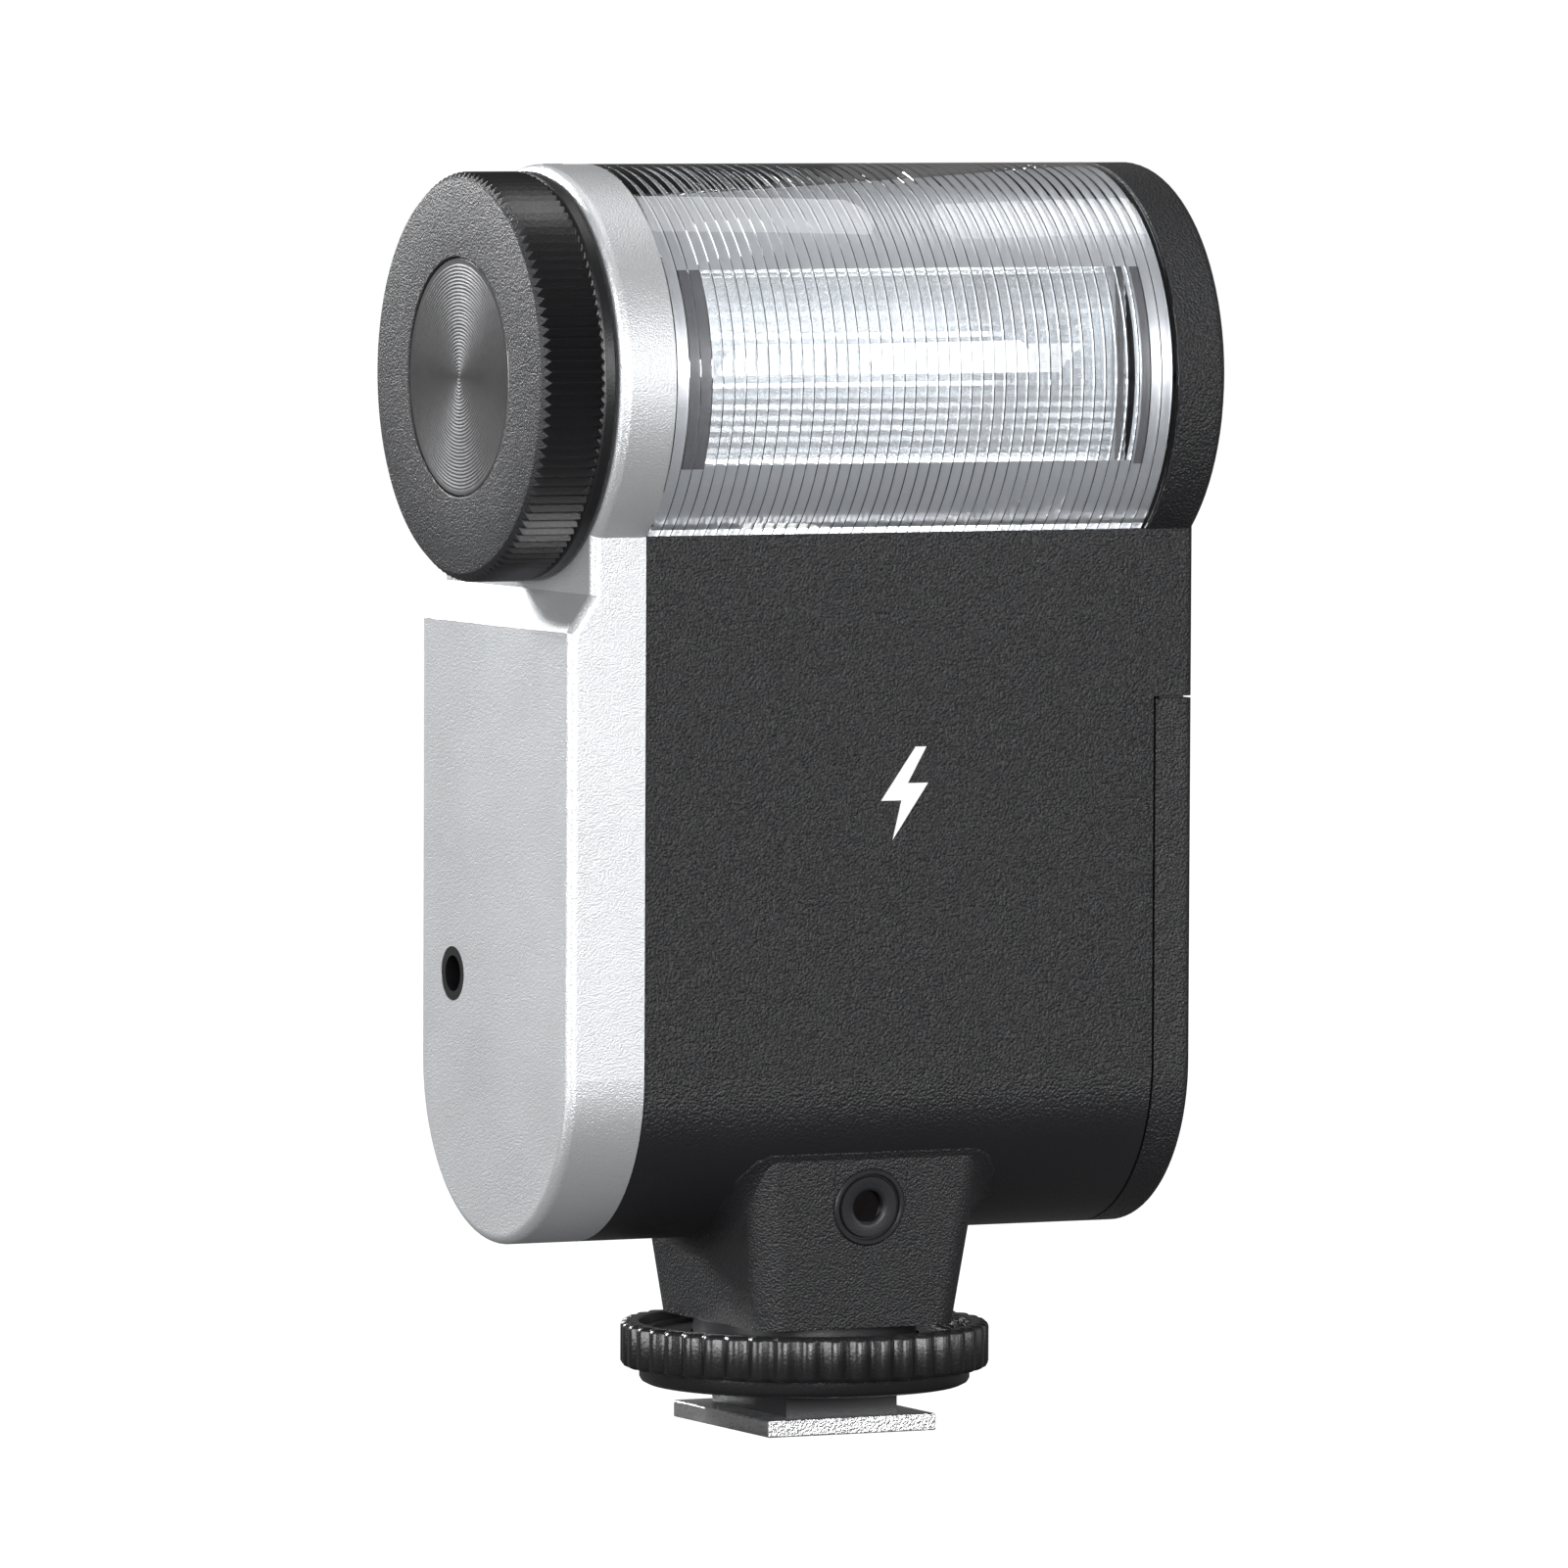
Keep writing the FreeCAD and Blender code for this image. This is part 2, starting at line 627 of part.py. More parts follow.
def make_reflector():
    """A parabolic trough open towards -Y, closed at both ends, with holes for the flash tube."""
    left, right = value("window_left"), value("window_right")
    mouth, half = value(MOUTH_Y), value("window_half_height")
    depth, wall = value("reflector_depth"), value("reflector_wall")
    outer = trough_face(left, mouth, half, depth).extrude(Vector(right - left, 0, 0))
    inner = trough_face(left + wall, mouth, half - wall, depth - wall)
    hollow = inner.extrude(Vector(right - left - 2 * wall, 0, 0))
    shape = outer.cut(hollow)
    hole = Part.makeCylinder(
        value("tube_radius") + 0.1,
        right - left + 2,
        Vector(left - 1, value(TUBE_Y), value(WINDOW_Z)),
        Vector(1, 0, 0),
    )
    item = doc.addObject("Part::Feature", "reflector_shape")
    item.Shape = shape.cut(hole)
    subpart("reflector", item)


def trough_face(across, mouth, half, depth):
    """The area between a parabola and its mouth, at one place across the head."""
    middle = value(WINDOW_Z)
    low = Vector(across, mouth, middle - half)
    high = Vector(across, mouth, middle + half)
    curve = Part.BezierCurve()
    curve.setPoles([low, Vector(across, mouth + 2 * depth, middle), high])
    edges = [curve.toShape(), Part.LineSegment(high, low).toShape()]
    return Part.Face(Part.Wire(edges))


def make_dial():
    """The knurled dial, its inlay and shaft, and the rotary switch that the shaft turns in."""
    owner = body("dial_knob", ("0", HEAD_Y, "head_height"))
    floor = f"{DIAL_FRONT} + inlay_depth"
    inner = f"{floor} + dial_wall"
    corners = [
        (floor, "0"),
        (floor, "inlay_radius + 0.15"),
        (DIAL_FRONT, "inlay_radius + 0.15"),
        (DIAL_FRONT, "dial_radius - 0.7"),
        (f"{DIAL_FRONT} + 0.7", "dial_radius"),
        (DIAL_BACK, "dial_radius"),
        (DIAL_BACK, "dial_hollow"),
        (inner, "dial_hollow"),
        (inner, "0"),
    ]
    turned(owner, corners)
    subpart("dial_knob", owner)
    centre = (HEAD_Y, "head_height")
    subpart("dial_inlay", cylinder("X", "inlay_radius", centre, (f"{DIAL_FRONT} + 0.1", floor)))
    inside = f"{DIAL_FACE} + wall"
    subpart("dial_shaft", cylinder("X", "shaft_radius", centre, (inner, f"{inside} + 3")))
    side = (f"{HEAD_Y} - switch_side / 2", f"{HEAD_Y} + switch_side / 2")
    lift = ("head_height - switch_side / 2", "head_height + switch_side / 2")
    case = box((f"{inside} + 0.1", f"{inside} + 0.1 + switch_depth"), side, lift)
    bush = cylinder("X", "bush_radius", centre, (f"{DIAL_FACE} - 2.8", f"{inside} + 1"))
    bore = cylinder("X", "shaft_radius + shaft_gap", centre, (f"{DIAL_FACE} - 4", f"{inside} + 3.3"))
    subpart("rotary_switch", cut(joined(case, bush), bore))
    nut = doc.addObject("Part::Prism", "hexagon")
    nut.Polygon = 6
    nut.setExpression("Circumradius", linked("bush_radius * 1.6"))
    axial(nut, "X", centre, (f"{DIAL_FACE} - 1.8", DIAL_FACE))
    bore = cylinder("X", "bush_radius", centre, (f"{DIAL_FACE} - 3", f"{DIAL_FACE} + 1"))
    subpart("switch_nut", cut(nut, bore))


def make_jack():
    """The sync jack: a flush bush in the side cover and the socket behind it."""
    inside = f"{LEFT} + wall + 0.1"
    owner = body("jack_bush", ("0", "jack_back", "jack_height"))
    corners = [
        (f"{LEFT} + 0.05", "jack_bore"),
        (inside, "jack_bore"),
        (inside, "jack_flange"),
        (f"{LEFT} + 0.05", "jack_flange"),
    ]
    turned(owner, corners)
    subpart("jack_bush", owner)
    owner = body("jack_body", ("0", "jack_back", "jack_height"))
    end = f"{inside} + jack_length"
    corners = [
        (inside, "jack_bore"),
        (f"{end} - 1", "jack_bore"),
        (f"{end} - 1", "0"),
        (end, "0"),
        (end, "jack_body_radius"),
        (inside, "jack_body_radius"),
    ]
    turned(owner, corners)
    subpart("jack_body", owner)


def make_battery_bay():
    """The holder with its two cells, their springs and contacts."""
    bay = ("cell_height", "cell_height + cell_pitch")
    block = box((HOLDER_END, f"{BAY_END} - 0.1"), (HOLDER_FRONT, HOLDER_BACK), (HOLDER_LOW, HOLDER_HIGH))
    inside = f"{HOLDER_END} + holder_wall"
    bores = [
        cylinder("X", "cell_radius + 0.3", ("cell_front", height), (inside, f"{BAY_END} + 1"))
        for height in bay
    ]
    subpart("battery_holder", cut(block, *bores))
    start = f"{CELL_END} - cell_length"
    ends = ((CELL_END, f"{CELL_END} + 1"), (f"{start} - 1", start))
    for name, height, nub in zip(("cell_lower", "cell_upper"), bay, ends):
        barrel = cylinder("X", "cell_radius", ("cell_front", height), (start, CELL_END))
        tip = cylinder("X", "cell_radius * 0.36", ("cell_front", height), nub)
        subpart(name, joined(barrel, tip))
    plates = [
        cylinder("X", "cell_radius - 1", ("cell_front", height), (inside, f"{inside} + 0.4"))
        for height in bay
    ]
    subpart("cell_contacts", joined(*plates))
    coils = ("cell_radius - 2", "cell_radius - 4")
    spring = cone("X", coils, ("cell_front", bay[0]), (f"{inside} + 0.4", start))
    button = cylinder("X", "cell_radius * 0.3", ("cell_front", bay[1]), (f"{inside} + 0.4", f"{start} - 1"))
    subpart("cell_springs", joined(spring, button))


def make_door():
    """The battery door, the pin it swings on and the bracket that slides down with it."""
    high = "door_top + 60"
    everywhere = (f"{DOOR_IN} - 2", f"{RIGHT} + 1")
    across = ("-case_depth * 2", "case_depth * 2")
    solid = rounded(drum((DOOR_IN, RIGHT)), "edge_round", case_edge)
    hollow = cut(
        drum((f"{DOOR_IN} - 1", f"{RIGHT} - wall"), "wall"),
        box(everywhere, across, ("door_top - wall", "head_height * 2")),
    )
    top = box(everywhere, across, ("door_top", "head_height * 2"))
    pivot = (HINGE_X, HINGE_Y)
    length = ("hinge_bottom", "hinge_bottom + hinge_length")
    corner = cut(
        box((f"{DOOR_IN} - 1", HINGE_X), (HINGE_Y, f"{BACK} + 1"), ("0", high)),
        cylinder("Z", "hinge_inset - 0.05", pivot, ("-1", f"{high} + 1")),
    )
    barrel = cylinder("Z", "hinge_inset - 0.2", pivot, length)
    notches = []
    knuckles = []
    for step in ("0", "knuckle_pitch"):
        low = f"(hinge_bottom + knuckle_rise + {step})"
        notch_z = (f"{low} - 0.25", f"{low} + knuckle_height + 0.25")
        notch_x = (f"{DOOR_IN} - 1", f"{HINGE_X} + hinge_inset - 0.05")
        notches.append(box(notch_x, (f"{HINGE_Y} - hinge_inset - 0.25", f"{BACK} + 1"), notch_z))
        knuckle_z = (low, f"{low} + knuckle_height")
        knuckles.append(cylinder("Z", "hinge_inset - 0.3", pivot, knuckle_z))
        web_y = (f"{HINGE_Y} - hinge_inset + 0.3", HINGE_Y)
        knuckles.append(box((f"{BAY_END} - 0.5", HINGE_X), web_y, knuckle_z))
    through = ("hinge_bottom - 1", "hinge_bottom + hinge_length + 1")
    bore = cylinder("Z", "pin_radius + pin_gap", pivot, through)
    shell = cut(solid, top, hollow, corner)
    subpart("battery_door", cut(joined(shell, barrel), bore, *notches))
    plate = box((f"{BAY_END} - 2.2", f"{BAY_END} - 0.2"), (f"{HINGE_Y} - 4.5", HINGE_Y), length)
    hole = cylinder("Z", "pin_radius", pivot, ("hinge_bottom", "hinge_bottom + hinge_length"))
    subpart("door_bracket", cut(joined(plate, *knuckles), hole))
    pin_z = ("hinge_bottom + 0.5", "hinge_bottom + hinge_length - 0.5")
    subpart("door_pin", cylinder("Z", "pin_radius", pivot, pin_z))
    strip_x = (f"{RIGHT} - wall - 0.5", f"{RIGHT} - wall")
    strip_z = ("cell_height - 4", "cell_height + cell_pitch + 4")
    tile("door_contact", strip_x, ("cell_front - 4", "cell_front + 4"), strip_z)


def make_rear_controls():
    """Two slide switches, the test button, the ready lamp and the scale plate, with the main board."""
    inner = f"{BACK} - wall"
    centre = "(switch_across - slider_travel / 2)"
    for name, height in (("power", "power_height"), ("mode", "mode_height")):
        cap_x = (f"{centre} - slider_length / 2", f"{centre} + slider_length / 2")
        cap_z = (f"{height} - slider_width / 2", f"{height} + slider_width / 2")
        cap = box(cap_x, (f"{BACK} - 0.9", f"{BACK} + control_stand"), cap_z)
        stem_z = (f"{height} - 0.7", f"{height} + 0.7")
        stem = box((f"{centre} - 1", f"{centre} + 1"), (f"{inner} - 1", f"{BACK} - 0.9"), stem_z)
        subpart(name + "_slider", joined(cap, stem))
        case_z = (f"{height} - 2.6", f"{height} + 2.6")
        case = box(("switch_across - 6", "switch_across + 6"), ("board_back", f"{inner} - 0.1"), case_z)
        slot_x = ("switch_across - 1.3 - slider_travel / 2", "switch_across + 1.3 + slider_travel / 2")
        slot = box(slot_x, (f"{inner} - 1.4", inner), (f"{height} - 1", f"{height} + 1"))
        subpart(name + "_switch", cut(case, slot))
    spot = ("button_across", "button_height")
    cap = cylinder("Y", "button_radius", spot, (f"{inner} - 0.9", f"{BACK} + control_stand"))
    flange = cylinder("Y", "button_radius + 0.7", spot, (f"{inner} - 0.9", f"{inner} - 0.2"))
    stem = cylinder("Y", "1", spot, ("board_back + 1.95", f"{inner} - 0.9"))
    subpart("test_button", joined(cap, flange, stem))
    side = ("button_across - 3", "button_across + 3")
    high = ("button_height - 3", "button_height + 3")
    tile("button_switch", side, ("board_back", "board_back + 1.1"), high)
    lamp = ("button_across", "button_height + lamp_rise")
    subpart("ready_lamp", cylinder("Y", "lamp_radius", lamp, (inner, f"{BACK} + 0.1")))
    plate_x = ("-plate_width / 2", "plate_width / 2")
    plate_z = ("plate_centre - plate_height / 2", "plate_centre + plate_height / 2")
    tile("scale_plate", plate_x, (f"{BACK} - plate_recess", f"{BACK} - 0.05"), plate_z)


def make_electronics():
    """The main board and what stands on it, above and behind the battery holder."""
    board_y = (BOARD_FRONT, "board_back")
    board_x = ("-case_screw_across + 4.9", "case_screw_across - 2.9")
    tile("main_board", board_x, board_y, ("board_low", "board_top"))
    above = f"({HOLDER_HIGH} + bay_gap)"
    centre = ("capacitor_front", f"{above} + capacitor_radius + 0.4")
    span = ("capacitor_left", "capacitor_right")
    subpart("main_capacitor", cylinder("X", "capacitor_radius", centre, span))
    across = ("transformer_left", "transformer_left + transformer_side")
    high = (above, f"{above} + transformer_side")
    tile("transformer", across, ("transformer_front", BOARD_FRONT), high)
    across = ("transistor_left", "transistor_left + transistor_side")
    high = (above, f"{above} + transistor_side")
    tile("power_transistor", across, ("transistor_front", BOARD_FRONT), high)
    parts = [
        cylinder("Y", "filter_radius", (across, "filter_height"), (f"{HOLDER_BACK} + 0.5", BOARD_FRONT))
        for across in ("filter_across", "filter_across + filter_pitch")
    ]
    # Across, height and share of the room in front of the board, for each chip.
    chips = [
        (("1", "9"), ("42", "50"), "0.2"),
        (("-12", "-4"), ("50", "56"), "0.3"),
        (("12", "18"), ("33", "40"), "0.4"),
    ]
    for across, high, share in chips:
        deep = (f"{BOARD_FRONT} - {share} * ({BOARD_FRONT} - {HOLDER_BACK})", BOARD_FRONT)
        parts.append(box(across, deep, high))
    subpart("board_parts", joined(*parts))
    foot_route = [
        ("0", "lead_back", "pedestal_bottom + 1"),
        ("0", "lead_back", "case_bottom - 2"),
        ("0", "5.5", "case_bottom + 4"),
        ("0.5", "8.5", "case_bottom + 9"),
        ("0.5", f"{BOARD_FRONT} - 1.5", "case_bottom + 15"),
    ]
    lead("foot_leads", foot_route)
    right_route = [
        ("window_right + 1.2", f"{MOUTH_Y} + reflector_depth + 3.2", WINDOW_Z),
        ("window_right + 0.5", f"{MOUTH_Y} + reflector_depth + 7", f"{WINDOW_Z} - 6"),
        ("window_right - 3", f"{BOARD_FRONT} - 4", f"{WINDOW_Z} - 13"),
        ("window_right - 7", f"{BOARD_FRONT} - 1.5", "85"),
    ]
    lead("tube_leads", right_route)


def lead(name, route):
    """An insulated lead along its route."""
    item = doc.addObject("Part::Feature", name + "_shape")
    item.Shape = wire_solid(route, value("lead_radius"))
    subpart(name, item)


def make_pedestal():
    """The flared pedestal under the case, with the light sensor in its front."""
    block = doc.addObject("Part::Wedge", "flared_block")
    sizes = {
        "Xmin": "-pedestal_width / 2",
        "Xmax": "pedestal_width / 2",
        "X2min": "-pedestal_width / 2 - pedestal_flare",
        "X2max": "pedestal_width / 2 + pedestal_flare",
        "Ymin": "0",
        "Ymax": "pedestal_height",
        "Zmin": "-pedestal_back",
        "Zmax": "pedestal_front",
        "Z2min": "-pedestal_back - pedestal_flare",
        "Z2max": "pedestal_front + pedestal_flare",
    }
    for name, text in sizes.items():
        block.setExpression(name, linked(text))
    block.Placement = Placement(Vector(), Rotation(Vector(1, 0, 0), 90))
    place(block, ("0", "0", "pedestal_bottom"))
    flared = rounded(block, "corner_round", lambda edge: edge.BoundBox.ZLength > 1)
    case = cylinder("X", "case_depth / 2", ("0", ROUND), (LEFT, RIGHT))
    above = ("pedestal_bottom + pedestal_wall", "case_bottom + case_depth / 2")
    side = ("pedestal_wall - pedestal_width / 2", "pedestal_width / 2 - pedestal_wall")
    room = box(side, (f"{SENSOR_FACE} + 4.2", "pedestal_back - pedestal_wall"), above)
    centre = ("0", "sensor_height")
    ahead = f"{SENSOR_FACE} - 5"
    bore = cylinder("Y", "sensor_radius + 0.05", centre, (ahead, f"{SENSOR_FACE} + 5"))
    tab_y = (ahead, f"{SENSOR_FACE} + tab_depth")
    tab = box(("-tab_width / 2", "tab_width / 2"), tab_y, ("sensor_height", ROUND))
    lead_hole = cylinder("Z", "1.5", ("0", "lead_back"), ("0", "pedestal_bottom + 5"))
    subpart("foot_pedestal", cut(flared, case, room, bore, tab, lead_hole))
    tab_side = ("0.05 - tab_width / 2", "tab_width / 2 - 0.05")
    insert = shared(flared, box(tab_side, tab_y, ("sensor_height", ROUND)))
    subpart("sensor_tab", cut(insert, case, bore))
    plug = cylinder("Y", "sensor_radius", centre, (ahead, f"{SENSOR_FACE} + 2.5"))
    hole = cylinder("Y", "sensor_hole", centre, (ahead, f"{SENSOR_FACE} + 3"))
    subpart("sensor_bezel", cut(shared(flared, plug), hole, case))
    pane = (f"{SENSOR_FACE} + 0.8", f"{SENSOR_FACE} + 1.2")
    subpart("sensor_window", cylinder("Y", "sensor_hole", centre, pane))
    half = "sensor_hole * 0.65"
    lift = (f"sensor_height - {half}", f"sensor_height + {half}")
    chip_y = (f"{SENSOR_FACE} + 1.3", f"{SENSOR_FACE} + 2.4")
    tile("photodiode", (f"-{half}", half), chip_y, lift)


def make_foot():
    """The shoe foot: plate, insulated contact, neck and threaded stem, and the lock ring."""
    spots = [(x, y) for x in ("-4", "4") for y in ("-6", "6")]
    plate = box(
        ("-foot_width / 2", "foot_width / 2"),
        ("-foot_length / 2", "foot_length / 2"),
        ("0", "foot_wall"),
    )
    holes = [cylinder("Z", "insulator_radius", ("0", "0"), ("-1", "foot_wall + 1"))]
    holes += [cylinder("Z", "screw_head + 0.05", spot, ("-1", "screw_sink")) for spot in spots]
    holes += [cylinder("Z", "screw_radius", spot, ("-1", "foot_wall + 1")) for spot in spots]
    subpart("foot_plate", cut(plate, *holes))
    bore = "contact_radius + contact_gap"
    subpart("contact_insulator", ring("Z", "insulator_radius", bore, ("0", "0"), ("0", "foot_wall")))
    shank = cylinder("Z", "contact_radius", ("0", "0"), ("0.05", "foot_wall + 1.6"))
    collar = cylinder("Z", "contact_radius + 0.5", ("0", "0"), ("foot_wall + 0.8", "foot_wall + 1.6"))
    subpart("contact_pin", joined(shank, collar))
    room = ("foot_wall + 1.65", "pedestal_bottom - 2.05")
    subpart("contact_spring", ring("Z", "contact_radius + 0.4", "contact_radius - 0.2", ("0", "0"), room))
    neck = box(
        ("-neck_width / 2", "neck_width / 2"),
        ("-neck_length / 2", "neck_length / 2"),
        ("foot_wall", f"{STEM_BOTTOM} + 0.5"),
    )
    stem = cylinder("Z", "stem_radius", ("0", "0"), (STEM_BOTTOM, "pedestal_bottom"))
    bores = [cylinder("Z", "contact_radius + 0.9", ("0", "0"), ("0", "pedestal_bottom - 2"))]
    bores += [cylinder("Z", "screw_radius", spot, ("0", "pedestal_bottom - 4")) for spot in spots]
    subpart("foot_neck", cut(joined(neck, stem), *bores))
    screws = [cylinder("Z", "screw_head", spot, ("0.1", "screw_sink")) for spot in spots]
    screws += [cylinder("Z", "screw_radius", spot, ("screw_sink", "pedestal_bottom - 4.5")) for spot in spots]
    subpart("foot_screws", joined(*screws))
    washer_z = ("ring_bottom + 0.1", "ring_bottom + 0.1 + washer_wall")
    washer = cylinder("Z", "washer_radius", ("0", "0"), washer_z)
    window = box(
        ("-neck_width / 2 - 0.15", "neck_width / 2 + 0.15"),
        ("-neck_length / 2 - 0.15", "neck_length / 2 + 0.15"),
        ("0", "pedestal_bottom"),
    )
    subpart("pressure_plate", cut(washer, window))
    make_lock_ring()


def make_lock_ring():
    """The lock ring, turned from a profile and scalloped all round."""
    owner = body("lock_ring")
    bore = "stem_radius + thread_gap"
    corners = [
        (bore, STEM_BOTTOM),
        ("washer_radius + 0.3", STEM_BOTTOM),
        ("washer_radius + 0.3", "ring_bottom"),
        ("flange_radius - 0.6", "ring_bottom"),
        ("flange_radius", "ring_bottom + 0.6"),
        ("flange_radius", "ring_bottom + flange_height"),
        ("ring_radius", "ring_bottom + flange_height"),
        ("ring_radius", "ring_top"),
        ("ring_radius - ring_rim", "ring_top"),
        ("ring_radius - ring_rim", "ring_top - ring_recess"),
        (bore, "ring_top - ring_recess"),
    ]
    turned(owner, corners, axis="V_Axis")
    middle = ("ring_radius + groove_radius - groove_depth", "0")
    sketch = circle(owner, "XY_Plane", middle, "groove_radius", "ring_top + 1")
    groove = pocket(owner, sketch, "ring_top + 1")
    pattern = owner.newObject("PartDesign::PolarPattern", "scallops")
    pattern.Originals = [groove]
    # The sketch's normal runs through its origin, which is the ring's own axis.
    pattern.Axis = (sketch, ["N_Axis"])
    pattern.Angle = 360
    pattern.setExpression("Occurrences", linked("ring_grooves"))
    owner.Tip = pattern
    subpart("lock_ring", owner)


def write_parts():
    """Check every object of the document, then write one file for each sub-part."""
    doc.recompute()
    for item in doc.Objects:
        if "Invalid" in item.State or "Error" in item.State:
            raise ValueError(f"{item.Name} ({item.Label}) did not rebuild: {item.State}")
    for item in subparts:
        if item.Shape.isNull() or not item.Shape.isValid():
            raise ValueError(f"{item.Label} has no valid shape")
    os.makedirs("parts", exist_ok=True)
    for item in subparts:
        item.Shape.exportStep(f"parts/{item.Label}.step")
    print(len(subparts), "sub-parts written")


make_side_cover()
make_shells()
make_head()
make_dial()
make_jack()
make_battery_bay()
make_door()
make_rear_controls()
make_electronics()
make_pedestal()
make_foot()
write_parts()
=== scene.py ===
import math

import bmesh
import bpy
from mathutils import Matrix, Vector


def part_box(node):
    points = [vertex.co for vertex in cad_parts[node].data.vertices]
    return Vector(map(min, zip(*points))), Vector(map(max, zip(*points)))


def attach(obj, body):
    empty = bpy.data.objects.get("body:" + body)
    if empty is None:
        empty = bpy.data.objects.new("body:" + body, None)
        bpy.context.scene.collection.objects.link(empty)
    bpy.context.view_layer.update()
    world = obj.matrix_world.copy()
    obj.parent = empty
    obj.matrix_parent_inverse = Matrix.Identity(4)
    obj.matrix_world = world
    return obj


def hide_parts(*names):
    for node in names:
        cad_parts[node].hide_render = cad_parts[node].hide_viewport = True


# Looks of the speedlight flash. Lengths are in millimetres until a piece is finished, then in metres.

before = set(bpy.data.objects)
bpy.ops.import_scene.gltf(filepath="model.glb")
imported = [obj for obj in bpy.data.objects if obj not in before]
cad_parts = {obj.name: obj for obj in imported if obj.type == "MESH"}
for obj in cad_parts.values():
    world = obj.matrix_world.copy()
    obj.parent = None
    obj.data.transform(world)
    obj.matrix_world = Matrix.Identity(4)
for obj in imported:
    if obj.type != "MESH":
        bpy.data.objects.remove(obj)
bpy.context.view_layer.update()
MM = 0.001
TURN = 2 * math.pi

# Camera
AIM = (-1.81, 1.51, 64.22)
VIEW_TURN = 25.984
VIEW_RISE = 3.514
VIEW_ROLL = 0.245
VIEW_DISTANCE = 1373.9
LENS = 315.1
ROOM_LIGHT = 0.14

# Case and pedestal
CASE_FRONT = -17.5
PEDESTAL_HALF_WIDTH = 11.0
PEDESTAL_FRONT = -13.0
PEDESTAL_BACK = 12.0
PEDESTAL_BOTTOM = 10.8
PEDESTAL_TAPER = 2.35 / 19.0
PEDESTAL_CORNER = 2.8
FLARE_POINTS = 96
FLARE_ROWS = 9
FLARE_LEAST = 0.4
FLARE_AT_SIDES = 1.9
FLARE_PROUD = 0.07

# Dial
KNURLS = 120
KNURL_DEPTH = 0.7
KNOB_FLANGE = 1.15
KNOB_HOLLOW = 11.0
KNOB_FACE_WALL = 3.0
INLAY_RINGS = 32
INLAY_RIPPLE = 0.04
INLAY_CREST = 0.02

# Lens and panel
LENS_RIBS = 44
LENS_WALL = 1.5
LENS_NOTCH = 0.16
LENS_NOTCH_HALF = 0.16
PANEL_RIBS = 18
PANEL_RIB_DEPTH = 0.3
BAND_LEFT = (-1.6, 0.6)
BAND_RIGHT = (-0.3, 0.7)
BAND_THICK = 0.12
BAND_TOP = math.radians(33)
BAND_TURN = math.radians(59)

# Lock ring
SCALLOPS = 44
SCALLOP_DEPTH = 0.7
RING_BORE = 11.5
RING_WELL = 13.5

# Bolt mark
BOLT_X = 2.2
BOLT_Z = 64.3

# Screws
HEAD_RADIUS = 1.9
SHANK_RADIUS = 1.0
RECESS_DEPTH = 0.75


def span(node):
    """The lowest and highest corner of a CAD node, in millimetres."""
    low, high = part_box(node)
    return Vector(low) / MM, Vector(high) / MM


def middle(node):
    """The centre of a CAD node, in millimetres."""
    low, high = span(node)
    return (low + high) / 2


# ---------------------------------------------------------------- stage

def make_camera():
    turn = math.radians(VIEW_TURN)
    rise = math.radians(VIEW_RISE)
    ahead = Vector((math.sin(turn) * math.cos(rise), math.cos(turn) * math.cos(rise), -math.sin(rise)))
    across = Vector((math.cos(turn), -math.sin(turn), 0))
    above = across.cross(ahead)
    roll = Matrix.Rotation(-math.radians(VIEW_ROLL), 3, ahead)
    across = roll @ across
    above = roll @ above
    camera = bpy.data.objects.new("camera", bpy.data.cameras.new("camera"))
    camera.data.lens = LENS
    camera.data.clip_end = 100
    turned = Matrix((across, above, -ahead)).transposed().to_4x4()
    turned.translation = (Vector(AIM) - ahead * VIEW_DISTANCE) * MM
    camera.matrix_world = turned
    bpy.context.scene.collection.objects.link(camera)
    bpy.context.scene.camera = camera


def make_softbox(name, place, target, wide, tall, watts, colour=(1, 1, 1)):
    lamp = bpy.data.lights.new(name, "AREA")
    lamp.shape = "RECTANGLE"
    lamp.size = wide
    lamp.size_y = tall
    lamp.energy = watts
    lamp.color = colour
    holder = bpy.data.objects.new(name, lamp)
    holder.location = place
    aim = Vector(target) - Vector(place)
    holder.rotation_euler = aim.to_track_quat("-Z", "Y").to_euler()
    bpy.context.scene.collection.objects.link(holder)


def make_studio():
    centre = (0, 0, 0.065)
    make_softbox("left_box", (-1.0, -0.2, 0.2), centre, 0.6, 0.4, 8)
    make_softbox("front_box", (-0.3, -1.3, 0.25), centre, 0.8, 0.3, 15)
    make_softbox("top_box", (0.0, 0.1, 1.1), centre, 0.9, 0.5, 4)
    make_softbox("right_box", (1.0, -0.5, 0.25), centre, 0.2, 0.7, 1.5)
    make_softbox("fill_box", (0.62, -1.15, 0.3), centre, 0.35, 0.35, 4)
    make_softbox("rim_box", (-0.57, 1.17, 0.63), (-0.04, 0, 0.105), 0.2, 0.3, 24)
    world = bpy.data.worlds.new("studio")
    world.use_nodes = True
    nodes = world.node_tree.nodes
    links = world.node_tree.links
    nodes["Background"].inputs["Color"].default_value = (1, 1, 1, 1)
    nodes["Background"].inputs["Strength"].default_value = ROOM_LIGHT
    seen = nodes.new("ShaderNodeBackground")
    seen.inputs["Color"].default_value = (1, 1, 1, 1)
    kind = nodes.new("ShaderNodeLightPath")
    mix = nodes.new("ShaderNodeMixShader")
    links.new(kind.outputs["Is Camera Ray"], mix.inputs["Fac"])
    links.new(nodes["Background"].outputs["Background"], mix.inputs[1])
    links.new(seen.outputs["Background"], mix.inputs[2])
    links.new(mix.outputs["Shader"], nodes["World Output"].inputs["Surface"])
    bpy.context.scene.world = world
    bpy.context.scene.view_settings.view_transform = "Standard"


